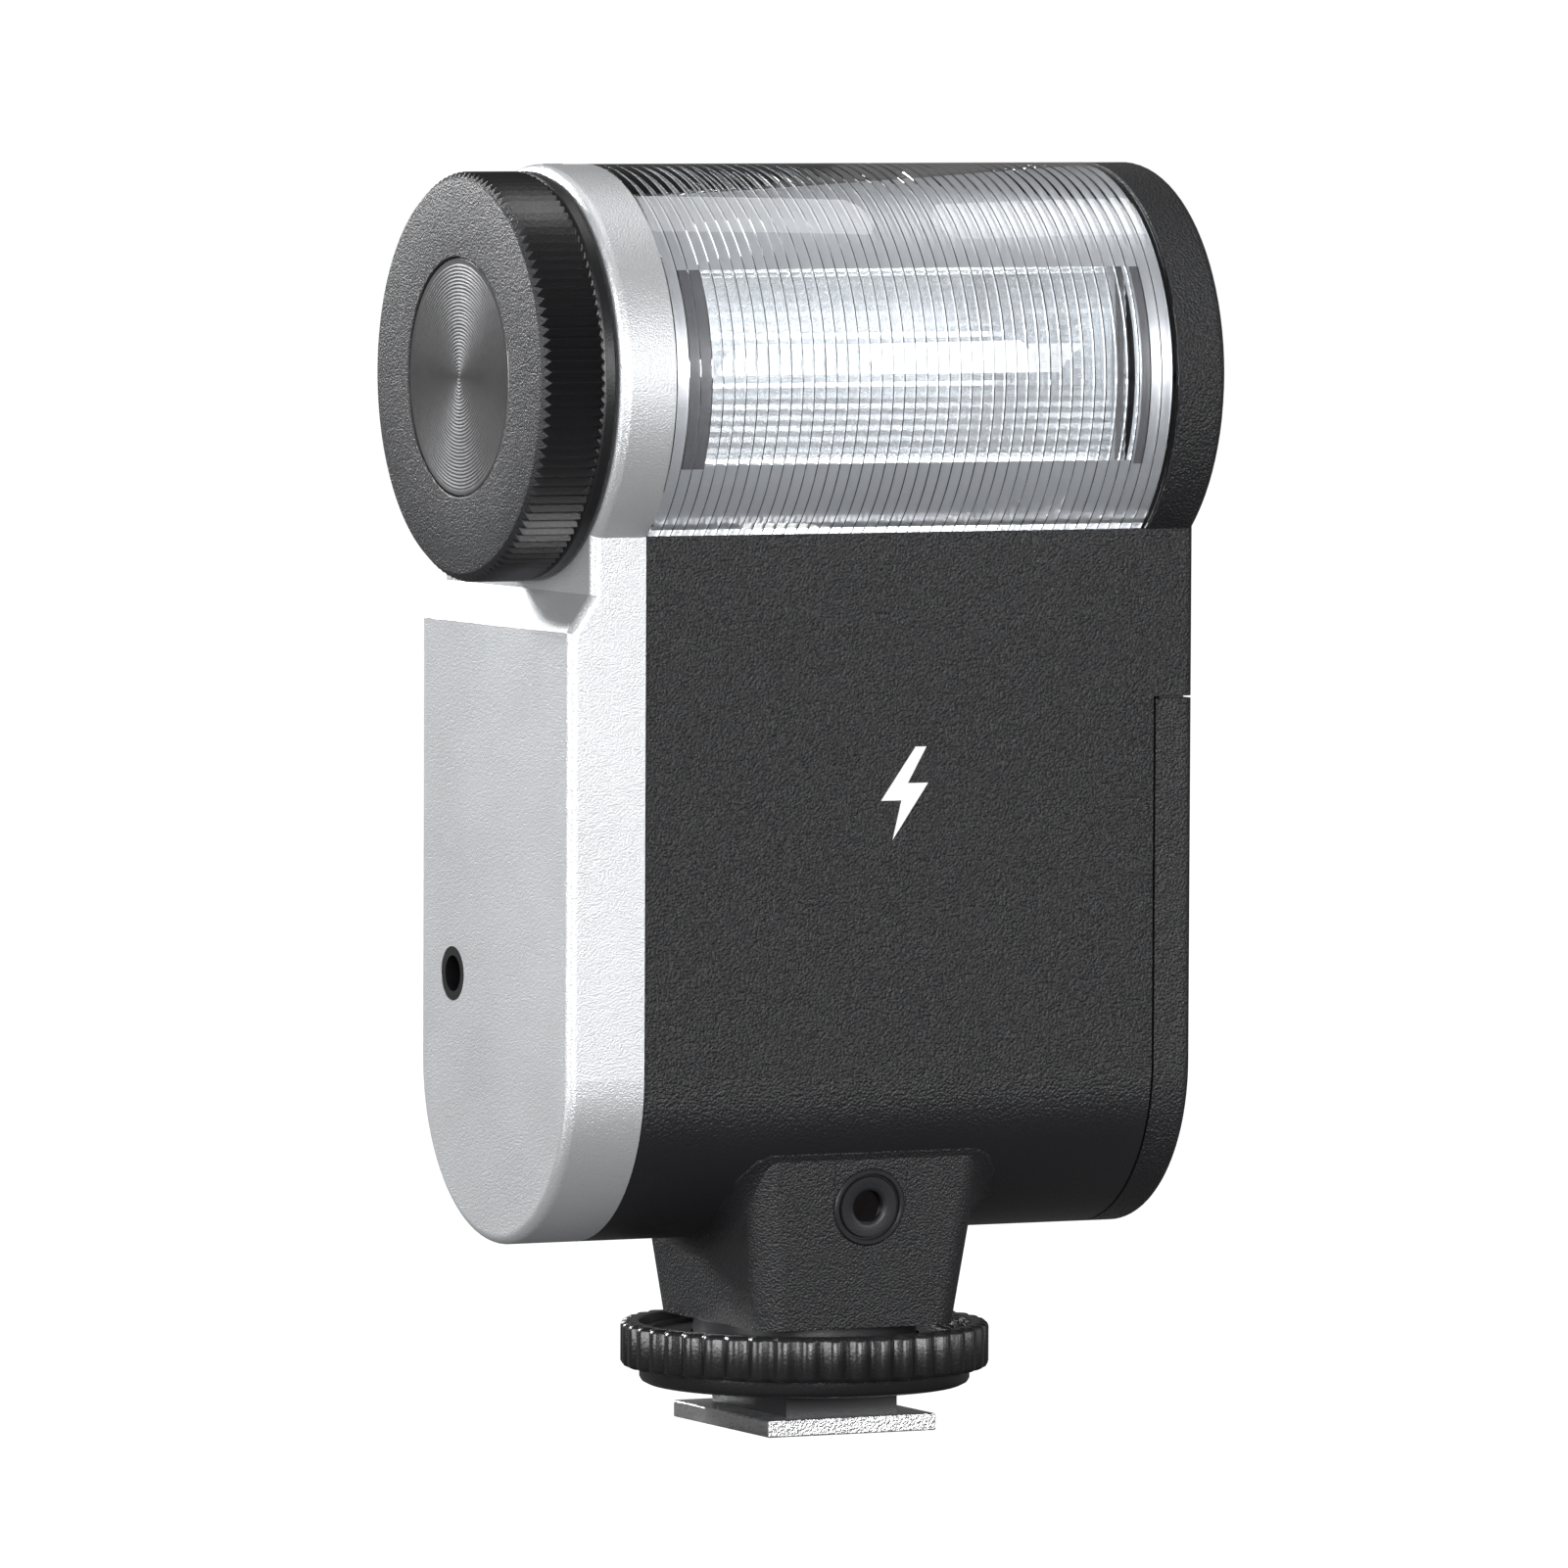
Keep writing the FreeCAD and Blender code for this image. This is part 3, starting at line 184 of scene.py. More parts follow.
def make_floor():
    bm = bmesh.new()
    bmesh.ops.create_circle(bm, cap_ends=True, segments=96, radius=30)
    mesh = bpy.data.meshes.new("floor")
    bm.to_mesh(mesh)
    bm.free()
    floor = bpy.data.objects.new("floor", mesh)
    bpy.context.scene.collection.objects.link(floor)
    material, nodes, links, shader = new_material("floor_paper")
    grain = nodes.new("ShaderNodeTexNoise")
    grain.inputs["Scale"].default_value = 900
    shade = nodes.new("ShaderNodeMapRange")
    shade.inputs["To Min"].default_value = 0.1
    shade.inputs["To Max"].default_value = 0.12
    coordinates = nodes.new("ShaderNodeTexCoord")
    links.new(coordinates.outputs["Object"], grain.inputs["Vector"])
    links.new(grain.outputs["Fac"], shade.inputs["Value"])
    links.new(shade.outputs["Result"], shader.inputs["Base Color"])
    shader.inputs["Roughness"].default_value = 0.9
    shader.inputs["Specular IOR Level"].default_value = 0.0
    # The paper glows a little, so that it stays pale without lighting the case from below.
    glow = nodes.new("ShaderNodeEmission")
    glow.inputs["Strength"].default_value = 1.0
    both = nodes.new("ShaderNodeAddShader")
    kind = nodes.new("ShaderNodeLightPath")
    mix = nodes.new("ShaderNodeMixShader")
    links.new(shader.outputs["BSDF"], both.inputs[0])
    links.new(glow.outputs["Emission"], both.inputs[1])
    links.new(kind.outputs["Is Camera Ray"], mix.inputs["Fac"])
    links.new(shader.outputs["BSDF"], mix.inputs[1])
    links.new(both.outputs["Shader"], mix.inputs[2])
    links.new(mix.outputs["Shader"], nodes["Material Output"].inputs["Surface"])
    mesh.materials.append(material)


# ---------------------------------------------------------------- materials

def new_material(name):
    material = bpy.data.materials.new(name)
    material.use_nodes = True
    nodes = material.node_tree.nodes
    return material, nodes, material.node_tree.links, nodes["Principled BSDF"]


def new_group(name, inputs, outputs):
    """An empty shader group; each input is a name, a socket kind and a value."""
    group = bpy.data.node_groups.new(name, "ShaderNodeTree")
    for label, kind, size in inputs:
        socket = group.interface.new_socket(label, in_out="INPUT", socket_type="NodeSocket" + kind)
        if size is not None:
            socket.default_value = size
    for label, kind in outputs:
        group.interface.new_socket(label, in_out="OUTPUT", socket_type="NodeSocket" + kind)
    entry = group.nodes.new("NodeGroupInput")
    leave = group.nodes.new("NodeGroupOutput")
    return group, entry.outputs, leave.inputs


def maths(group, kind, first, second):
    """A maths node between two sockets or numbers."""
    node = group.nodes.new("ShaderNodeMath")
    node.operation = kind
    for socket, source in zip(node.inputs, (first, second)):
        if isinstance(source, (int, float)):
            socket.default_value = source
        else:
            group.links.new(source, socket)
    return node.outputs["Value"]


def make_moulded_group():
    """Moulded plastic: pebble grain, slow colour drift and uneven gloss."""
    group, given, made = new_group(
        "moulded",
        [
            ("Vector", "Vector", None),
            ("Colour", "Color", (0.02, 0.02, 0.02, 1)),
            ("Tint", "Float", 0.2),
            ("Grain", "Float", 1800.0),
            ("Roughness", "Float", 0.5),
            ("Spread", "Float", 0.1),
        ],
        [("Colour", "Color"), ("Roughness", "Float"), ("Height", "Float")],
    )
    cells = group.nodes.new("ShaderNodeTexVoronoi")
    cells.feature = "SMOOTH_F1"
    cells.inputs["Smoothness"].default_value = 0.3
    dust = group.nodes.new("ShaderNodeTexNoise")
    dust.inputs["Detail"].default_value = 3
    drift = group.nodes.new("ShaderNodeTexNoise")
    drift.inputs["Scale"].default_value = 55
    drift.inputs["Detail"].default_value = 2
    for texture in (cells, dust, drift):
        group.links.new(given["Vector"], texture.inputs["Vector"])
    group.links.new(given["Grain"], cells.inputs["Scale"])
    group.links.new(maths(group, "MULTIPLY", given["Grain"], 1.7), dust.inputs["Scale"])
    dusty = maths(group, "MULTIPLY", dust.outputs["Fac"], 0.9)
    height = maths(group, "SUBTRACT", dusty, cells.outputs["Distance"])
    group.links.new(height, made["Height"])
    swing = maths(group, "SUBTRACT", drift.outputs["Fac"], 0.5)
    speck = maths(group, "SUBTRACT", dust.outputs["Fac"], 0.5)
    patchy = maths(group, "ADD", swing, speck)
    gain = maths(group, "ADD", maths(group, "MULTIPLY", patchy, given["Tint"]), 1.0)
    tinted = group.nodes.new("ShaderNodeVectorMath")
    tinted.operation = "SCALE"
    group.links.new(given["Colour"], tinted.inputs[0])
    group.links.new(gain, tinted.inputs["Scale"])
    group.links.new(tinted.outputs["Vector"], made["Colour"])
    uneven = maths(group, "MULTIPLY", patchy, given["Spread"])
    group.links.new(maths(group, "ADD", given["Roughness"], uneven), made["Roughness"])
    return group


def make_streak_group():
    """Rolled or brushed metal: fine streaks along one axis and slow stains."""
    group, given, made = new_group(
        "streaks",
        [
            ("Vector", "Vector", None),
            ("Colour", "Color", (0.6, 0.6, 0.6, 1)),
            ("Tint", "Float", 0.2),
            ("Roughness", "Float", 0.3),
            ("Spread", "Float", 0.15),
            ("Stretch", "Vector", (1, 30, 30)),
        ],
        [("Colour", "Color"), ("Roughness", "Float"), ("Height", "Float")],
    )
    stretched = group.nodes.new("ShaderNodeVectorMath")
    stretched.operation = "MULTIPLY"
    group.links.new(given["Vector"], stretched.inputs[0])
    group.links.new(given["Stretch"], stretched.inputs[1])
    streak = group.nodes.new("ShaderNodeTexNoise")
    streak.inputs["Scale"].default_value = 120
    streak.inputs["Detail"].default_value = 4
    group.links.new(stretched.outputs["Vector"], streak.inputs["Vector"])
    stain = group.nodes.new("ShaderNodeTexNoise")
    stain.inputs["Scale"].default_value = 160
    group.links.new(given["Vector"], stain.inputs["Vector"])
    both = maths(group, "ADD", streak.outputs["Fac"], stain.outputs["Fac"])
    swing = maths(group, "SUBTRACT", both, 1.0)
    gain = maths(group, "ADD", maths(group, "MULTIPLY", swing, given["Tint"]), 1.0)
    tinted = group.nodes.new("ShaderNodeVectorMath")
    tinted.operation = "SCALE"
    group.links.new(given["Colour"], tinted.inputs[0])
    group.links.new(gain, tinted.inputs["Scale"])
    group.links.new(tinted.outputs["Vector"], made["Colour"])
    uneven = maths(group, "MULTIPLY", swing, given["Spread"])
    group.links.new(maths(group, "ADD", given["Roughness"], uneven), made["Roughness"])
    group.links.new(streak.outputs["Fac"], made["Height"])
    return group


def add_group(nodes, links, group, sizes):
    """Put a group in a material, feed it object coordinates and set its numbers."""
    coordinates = nodes.new("ShaderNodeTexCoord")
    node = nodes.new("ShaderNodeGroup")
    node.node_tree = group
    links.new(coordinates.outputs["Object"], node.inputs["Vector"])
    for label, size in sizes.items():
        node.inputs[label].default_value = size
    return node


def add_bump(nodes, links, shader, height, depth):
    """Feed a height to the shader's normal; depth is in millimetres."""
    bump = nodes.new("ShaderNodeBump")
    bump.inputs["Distance"].default_value = depth * MM
    links.new(height, bump.inputs["Height"])
    links.new(bump.outputs["Normal"], shader.inputs["Normal"])
    return bump


def plastic(name, colour, rough, grain=0.5, depth=0.02, tint=0.25, spread=0.15, metal=0.0, smooth_below=None):
    """Moulded plastic; grain and depth are the pebbles' size and height in millimetres."""
    material, nodes, links, shader = new_material(name)
    sizes = {
        "Colour": (*colour, 1),
        "Tint": tint,
        "Grain": 1 / (grain * MM),
        "Roughness": rough,
        "Spread": spread,
    }
    surface = add_group(nodes, links, MOULDED, sizes)
    links.new(surface.outputs["Colour"], shader.inputs["Base Color"])
    links.new(surface.outputs["Roughness"], shader.inputs["Roughness"])
    shader.inputs["Metallic"].default_value = metal
    height = surface.outputs["Height"]
    if smooth_below:
        height = faded(nodes, links, height, smooth_below)
    add_bump(nodes, links, shader, height, depth)
    return material


def faded(nodes, links, height, levels):
    """Let a height die away below a level, both levels in millimetres."""
    coordinates = nodes.new("ShaderNodeTexCoord")
    parts = nodes.new("ShaderNodeSeparateXYZ")
    links.new(coordinates.outputs["Object"], parts.inputs["Vector"])
    fade = nodes.new("ShaderNodeMapRange")
    fade.inputs["From Min"].default_value = levels[0] * MM
    fade.inputs["From Max"].default_value = levels[1] * MM
    fade.inputs["To Min"].default_value = 0.15
    links.new(parts.outputs["Z"], fade.inputs["Value"])
    product = nodes.new("ShaderNodeMath")
    product.operation = "MULTIPLY"
    links.new(height, product.inputs[0])
    links.new(fade.outputs["Result"], product.inputs[1])
    return product.outputs["Value"]


def metal(name, colour, rough, stretch=(1, 30, 30), depth=0.003, tint=0.25, spread=0.15):
    """Bare or plated metal with streaks along one axis."""
    material, nodes, links, shader = new_material(name)
    sizes = {"Colour": (*colour, 1), "Tint": tint, "Roughness": rough, "Spread": spread, "Stretch": stretch}
    surface = add_group(nodes, links, STREAKS, sizes)
    links.new(surface.outputs["Colour"], shader.inputs["Base Color"])
    links.new(surface.outputs["Roughness"], shader.inputs["Roughness"])
    shader.inputs["Metallic"].default_value = 1.0
    add_bump(nodes, links, shader, surface.outputs["Height"], depth)
    return material


def clear(name, colour, rough, ior=1.49, grain=3.0, depth=0.001, body=1.0):
    """Clear plastic or glass that lets the lamps through to what is behind it."""
    material, nodes, links, shader = new_material(name)
    sizes = {
        "Colour": (*colour, 1),
        "Tint": 0.02,
        "Grain": 1 / (grain * MM),
        "Roughness": rough,
        "Spread": rough * 0.5,
    }
    surface = add_group(nodes, links, MOULDED, sizes)
    links.new(surface.outputs["Colour"], shader.inputs["Base Color"])
    links.new(surface.outputs["Roughness"], shader.inputs["Roughness"])
    shader.inputs["Transmission Weight"].default_value = body
    shader.inputs["IOR"].default_value = ior
    add_bump(nodes, links, shader, surface.outputs["Height"], depth)
    passing = nodes.new("ShaderNodeBsdfTransparent")
    passing.inputs["Color"].default_value = (0.93, 0.94, 0.95, 1)
    kind = nodes.new("ShaderNodeLightPath")
    mix = nodes.new("ShaderNodeMixShader")
    links.new(kind.outputs["Is Shadow Ray"], mix.inputs["Fac"])
    links.new(shader.outputs["BSDF"], mix.inputs[1])
    links.new(passing.outputs["BSDF"], mix.inputs[2])
    links.new(mix.outputs["Shader"], nodes["Material Output"].inputs["Surface"])
    return material


MOULDED = make_moulded_group()
STREAKS = make_streak_group()

FINISHES = {
    "silver_paint": plastic("silver_paint", (0.6, 0.61, 0.63), 0.38, 0.18, 0.035, 0.14, 0.1, metal=0.65),
    "black_grain": plastic("black_grain", (0.0105, 0.0105, 0.012), 0.4, 0.24, 0.075),
    "black_smooth": plastic("black_smooth", (0.014, 0.014, 0.016), 0.42, 0.3, 0.008),
    "black_smooth_case": plastic("black_smooth_case", (0.0105, 0.0105, 0.012), 0.38, 0.29, 0.12),
    "black_gloss": plastic("black_gloss", (0.008, 0.008, 0.009), 0.2, 0.6, 0.002),
    "knob_black": plastic("knob_black", (0.016, 0.016, 0.018), 0.44, 0.21, 0.06),
    "spun_metal": metal("spun_metal", (0.42, 0.42, 0.43), 0.25, (1, 8, 8), 0.0002, 0.05, 0.03),
    "clear_lens": clear("clear_lens", (0.98, 0.985, 0.99), 0.01),
    "clear_panel": clear("clear_panel", (0.97, 0.98, 0.99), 0.18, body=0.94),
    "silver_liner": plastic("silver_liner", (0.5, 0.51, 0.53), 0.36, 0.9, 0.01, 0.1, 0.05, metal=0.8),
    "bright_reflector": metal("bright_reflector", (0.66, 0.67, 0.68), 0.25, (1, 20, 20), 0.004, 0.06, 0.05),
    "tube_glass": clear("tube_glass", (0.97, 0.98, 1.0), 0.03),
    "bright_steel": metal("bright_steel", (0.66, 0.66, 0.67), 0.25),
    "foot_steel": metal("foot_steel", (0.86, 0.86, 0.87), 0.3, (1, 12, 30)),
    "sheared_steel": plastic("sheared_steel", (0.85, 0.85, 0.86), 0.34, 0.26, 0.09, 0.6, 0.3, metal=1.0),
    "dark_screw": metal("dark_screw", (0.05, 0.05, 0.05), 0.35),
    "silicone": plastic("silicone", (0.72, 0.72, 0.7), 0.5, 0.8, 0.01, 0.1),
    "coil_wrap": plastic("coil_wrap", (0.7, 0.5, 0.06), 0.35, 0.7, 0.02),
    "cell_wrap": plastic("cell_wrap", (0.03, 0.07, 0.16), 0.3, 1.2, 0.01, 0.2, metal=0.4),
    "lamp_amber": plastic("lamp_amber", (0.75, 0.22, 0.02), 0.3, 0.8, 0.005),
    "plate_grey": plastic("plate_grey", (0.05, 0.05, 0.055), 0.45, 0.3, 0.008),
    "board_green": plastic("board_green", (0.006, 0.06, 0.025), 0.35, 2.0, 0.03),
    "board_black": plastic("board_black", (0.012, 0.012, 0.012), 0.45, 0.4, 0.02),
    "capacitor_sleeve": plastic("capacitor_sleeve", (0.008, 0.01, 0.03), 0.25, 1.0, 0.01),
    "transformer_core": plastic("transformer_core", (0.03, 0.03, 0.032), 0.6, 0.5, 0.05),
    "lead_red": plastic("lead_red", (0.35, 0.01, 0.01), 0.4, 0.8, 0.01),
    "sensor_pane": plastic("sensor_pane", (0.003, 0.002, 0.002), 0.12, 1.0, 0.001),
    "contact_brass": metal("contact_brass", (0.75, 0.52, 0.22), 0.22),
    "ring_black": plastic("ring_black", (0.01, 0.01, 0.011), 0.3, 0.35, 0.012),
    # The knurl's black is the knob's plastic with a glossier finish and a darker base colour; the darker
    # colour is painted shade for the grooves between the teeth.
    "knurl_black_painted_shade": plastic("knurl_black_painted_shade", (0.008, 0.008, 0.009), 0.34, 0.3, 0.008),
    "band_dark": plastic("band_dark", (0.05, 0.05, 0.055), 0.4, 0.6, 0.01),
    "print_white": plastic("print_white", (0.8, 0.8, 0.8), 0.5, 0.42, 0.02, 0.05),
    "case_black": plastic("case_black", (0.0105, 0.0105, 0.012), 0.38, 0.29, 0.15, smooth_below=(29, 37)),
}


def finish_cad_nodes():
    """Give every CAD node the procedural finish of its slot."""
    for name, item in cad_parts.items():
        for holder in item.material_slots:
            slot = holder.material.name
            if name in ("front_shell", "rear_shell"):
                slot = "case_black"
            holder.material = FINISHES[slot]


# ---------------------------------------------------------------- making meshes

def finish_piece(bm, name, body, slot, nodes=(), paint=None, crease=35, turned_out=True):
    """Turn a mesh in millimetres into a piece that rides on a body."""
    bmesh.ops.remove_doubles(bm, verts=bm.verts, dist=0.0005)
    if turned_out:
        bmesh.ops.recalc_face_normals(bm, faces=bm.faces)
    bmesh.ops.scale(bm, vec=(MM, MM, MM), verts=bm.verts)
    mesh = bpy.data.meshes.new(name)
    bm.to_mesh(mesh)
    bm.free()
    mesh.shade_smooth()
    mesh.set_sharp_from_angle(angle=math.radians(crease))
    mesh.materials.append(FINISHES[paint or slot])
    item = bpy.data.objects.new(name, mesh)
    bpy.context.scene.collection.objects.link(item)
    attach(item, body)
    if nodes:
        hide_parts(*nodes)
    return item


def spun(profile, axis, centre, steps=128, angle=TURN, start=0.0, closed=True):
    """Turn a profile of (along, radius) points about an axis through a centre."""
    bm = bmesh.new()
    add_spun(bm, profile, axis, centre, steps, angle, start, closed)
    return bm


def add_spun(bm, profile, axis, centre, steps=128, angle=TURN, start=0.0, closed=True):
    """Add a turned profile to a mesh; start is the first angle of a part turn."""
    direction = {"X": Vector((1, 0, 0)), "Y": Vector((0, 1, 0)), "Z": Vector((0, 0, 1))}[axis]
    outwards = {"X": Vector((0, 0, 1)), "Y": Vector((0, 0, 1)), "Z": Vector((1, 0, 0))}[axis]
    outwards = Matrix.Rotation(start, 3, direction) @ outwards
    centre = Vector(centre)
    verts = [bm.verts.new(centre + direction * along + outwards * radius) for along, radius in profile]
    pairs = list(zip(verts, verts[1:]))
    if closed:
        pairs.append((verts[-1], verts[0]))
    edges = [bm.edges.new(pair) for pair in pairs]
    whole = abs(angle - TURN) < 0.001
    bmesh.ops.spin(
        bm, geom=verts + edges, cent=centre, axis=direction, angle=angle, steps=steps, use_merge=whole,
    )
    return verts


def block(bm, low, high):
    """Add a box between two corners."""
    low, high = Vector(low), Vector(high)
    size = high - low
    made = bmesh.ops.create_cube(bm, size=1)["verts"]
    bmesh.ops.scale(bm, vec=size, verts=made)
    bmesh.ops.translate(bm, vec=(low + high) / 2, verts=made)
    return made


def take_in(bm, made):
    """Move a finished mesh into another one."""
    mesh = bpy.data.meshes.new("made")
    made.to_mesh(mesh)
    made.free()
    bm.from_mesh(mesh)
    bpy.data.meshes.remove(mesh)


def grown(bm, edges, place):
    """Extrude a loop of edges and put each new vertex where the place function says."""
    made = bmesh.ops.extrude_edge_only(bm, edges=edges)["geom"]
    verts = {item for item in made if isinstance(item, bmesh.types.BMVert)}
    for vert in verts:
        vert.co = place(vert.co)
    return [edge for edge in bm.edges if edge.verts[0] in verts and edge.verts[1] in verts]


# ---------------------------------------------------------------- dial

def make_knob():
    low, high = span("dial_knob")
    centre = middle("dial_knob")
    outer = (high.z - low.z) / 2
    well = (span("dial_inlay")[1].z - span("dial_inlay")[0].z) / 2 + 0.15
    bm = bmesh.new()
    upright = Matrix.Translation((0, centre.y, centre.z)) @ Matrix.Rotation(math.pi / 2, 4, "Y")
    bmesh.ops.create_circle(bm, segments=2 * KNURLS, radius=1.0, cap_ends=True, matrix=upright)
    edges = list(bm.edges)

    def at(along, crest, root=None, root_along=None):
        def place(spot):
            angle = math.atan2(spot.z - centre.z, spot.y - centre.y)
            tooth = round(angle / (math.pi / KNURLS)) % 2
            radius = root if root is not None and tooth else crest
            deep = root_along if root_along is not None and tooth else along
            side = Vector((0, math.cos(angle), math.sin(angle)))
            return Vector((deep, centre.y, centre.z)) + side * radius
        return place

    front, back = low.x, high.x
    flange = back - KNOB_FLANGE
    root = outer - KNURL_DEPTH
    steps = [
        at(front + 0.85, well),
        at(front + 0.12, well),
        at(front, well + 0.12),
        at(front, outer - 1.05),
        at(front + 0.06, outer - 0.85),
        at(front + 0.85, outer - 0.06, root, front + 0.3),
        at(front + 1.05, outer, root),
        at(flange - 0.35, outer, root),
        at(flange - 0.2, outer - 0.08, root),
        at(flange - 0.1, outer - 0.25, outer - 0.25),
        at(flange, outer - 0.1),
        at(flange + 0.12, outer),
        at(back - 0.15, outer),
        at(back, outer - 0.15),
        at(back, KNOB_HOLLOW),
        at(front + KNOB_FACE_WALL, KNOB_HOLLOW),
        at(front + KNOB_FACE_WALL, 1.0),
    ]
    for vert in bm.verts:
        vert.co.x = front + 0.85
    for place in steps:
        edges = grown(bm, edges, place)
    bmesh.ops.edgeloop_fill(bm, edges=edges)
    # The knurled band takes a second, darker black: a glossier finish plus painted shade of its grooves.
    for face in bm.faces:
        spot = face.calc_center_median()
        away = math.hypot(spot.y - centre.y, spot.z - centre.z)
        face.material_index = 1 if away > root - 0.1 and front + 0.5 < spot.x else 0
    item = finish_piece(bm, "knob", "dial", "knob_black", ["dial_knob"], crease=24)
    item.data.materials.append(FINISHES["knurl_black_painted_shade"])


def make_inlay():
    low, high = span("dial_inlay")
    centre = middle("dial_inlay")
    outer = (high.z - low.z) / 2
    profile = [(high.x, 0.0), (high.x, outer), (low.x + 0.12, outer), (low.x, outer - 0.1)]
    pitch = (outer - 0.4) / INLAY_RINGS
    for ring in range(INLAY_RINGS, 0, -1):
        profile.append((low.x + INLAY_CREST, ring * pitch))
        profile.append((low.x + INLAY_CREST + INLAY_RIPPLE, (ring - 0.5) * pitch))
    profile.append((low.x + INLAY_CREST, 0.0))
    bm = spun(profile, "X", (0, centre.y, centre.z), steps=160, closed=False)
    finish_piece(bm, "inlay", "dial", "spun_metal", ["dial_inlay"], crease=10)


# ---------------------------------------------------------------- head

def make_lens():
    low, high = span("lens_cover")
    centre_y = middle("dial_knob").y
    centre_z = middle("dial_knob").z
    outer = high.z - centre_z
    inner = outer - LENS_WALL
    left, right = low.x, high.x
    back = math.asin((high.y - centre_y) / outer)
    down = math.asin((centre_z - low.z) / outer)
    profile = [
        (left, inner + 0.1),
        (left, outer - 0.25),
        (left + 0.07, outer - 0.07),
        (left + 0.25, outer),
        (right - 0.25, outer),
        (right - 0.07, outer - 0.07),
        (right, outer - 0.25),
        (right, inner + 0.1),
    ]
    pitch = (right - left - 1.0) / LENS_RIBS
    for rib in range(LENS_RIBS, -1, -1):
        along = left + 0.5 + rib * pitch
        profile.append((along + LENS_NOTCH_HALF, inner))
        profile.append((along, inner + LENS_NOTCH))
        profile.append((along - LENS_NOTCH_HALF, inner))
    # The sweep starts behind the top and comes down over the front.
    bm = spun(
        profile, "X", (0, centre_y, centre_z), steps=84, angle=back + math.pi / 2 + down, start=-back,
    )
    close_ends(bm)
    finish_piece(bm, "lens", "case", "clear_lens", ["lens_cover"], crease=30)


def make_bands():
    """Dark shields beside each end of the reflector, just under the lens."""
    panel_low, panel_high = span("inner_panel")
    centre = middle("dial_knob")
    radius = span("lens_liner")[1].z - centre.z + 0.04
    start = math.pi / 2 - BAND_TOP
    bm = bmesh.new()
    for edge, reach in ((panel_low.x, BAND_LEFT), (panel_high.x, BAND_RIGHT)):
        left = edge + reach[0]
        right = edge + reach[1]
        profile = [(left, radius), (right, radius), (right, radius + BAND_THICK), (left, radius + BAND_THICK)]
        made = bmesh.new()
        add_spun(made, profile, "X", (0, centre.y, centre.z), 24, BAND_TURN, start)
        close_ends(made)
        take_in(bm, made)
    finish_piece(bm, "reflector_shields", "case", "black_smooth", (), paint="band_dark", crease=40)


def close_ends(bm):
    """Fill the open loops that a part turn leaves."""
    open_edges = [edge for edge in bm.edges if edge.is_boundary]
    bmesh.ops.holes_fill(bm, edges=open_edges, sides=0)


def make_panel():
    low, high = span("inner_panel")
    bm = bmesh.new()
    pitch = (high.z - low.z - 1.2) / PANEL_RIBS
    root = low.y + PANEL_RIB_DEPTH
    points = [(high.y, low.z), (root, low.z)]
    for rib in range(PANEL_RIBS):
        base = low.z + 0.6 + rib * pitch
        points.append((root, base))
        points.append((low.y + 0.05, base + pitch * 0.5))
    points += [(root, high.z - 0.6), (root, high.z), (high.y, high.z)]
    verts = [bm.verts.new((low.x, y, z)) for y, z in points]
    face = bm.faces.new(verts)
    made = bmesh.ops.extrude_face_region(bm, geom=[face])["geom"]
    moved = [item for item in made if isinstance(item, bmesh.types.BMVert)]
    bmesh.ops.translate(bm, vec=(high.x - low.x, 0, 0), verts=moved)
    finish_piece(bm, "ribbed_panel", "case", "clear_panel", ["inner_panel"], crease=20)


def make_cell_ends():
    """Bare metal on the ends of the two cells, seen when the door is open."""
    ends = [span("cell_lower"), span("cell_upper")]
    face = min(high.x for low, high in ends)
    bm = bmesh.new()
    for low, high in ends:
        centre = (low + high) / 2
        radius = (high.z - low.z) / 2
        rim = radius - 0.8
        top = high.x + 0.03
        nub = radius * 0.36 + 0.03 if high.x > face + 0.3 else rim - 0.6
        profile = [(face - 0.2, 0.0), (face - 0.2, rim), (face + 0.03, rim), (face + 0.03, nub + 0.01)]
        profile += [(top - 0.01, nub), (top, nub - 0.15), (top, 0.0)]
        add_spun(bm, profile, "X", (0, centre.y, centre.z), 64, closed=False)
    finish_piece(bm, "cell_ends", "case", "bright_steel", (), crease=30)


def make_door_lip():
    """The lip of the case behind the gap along the door's top edge."""
    low, high = span("battery_door")
    bm = bmesh.new()
    back = 0.8
    block(bm, (low.x + back, low.y + back, high.z + 0.03), (high.x - back, high.y - back, high.z + 0.5))
    finish_piece(bm, "door_lip", "case", "black_smooth", (), crease=30)


# ---------------------------------------------------------------- foot

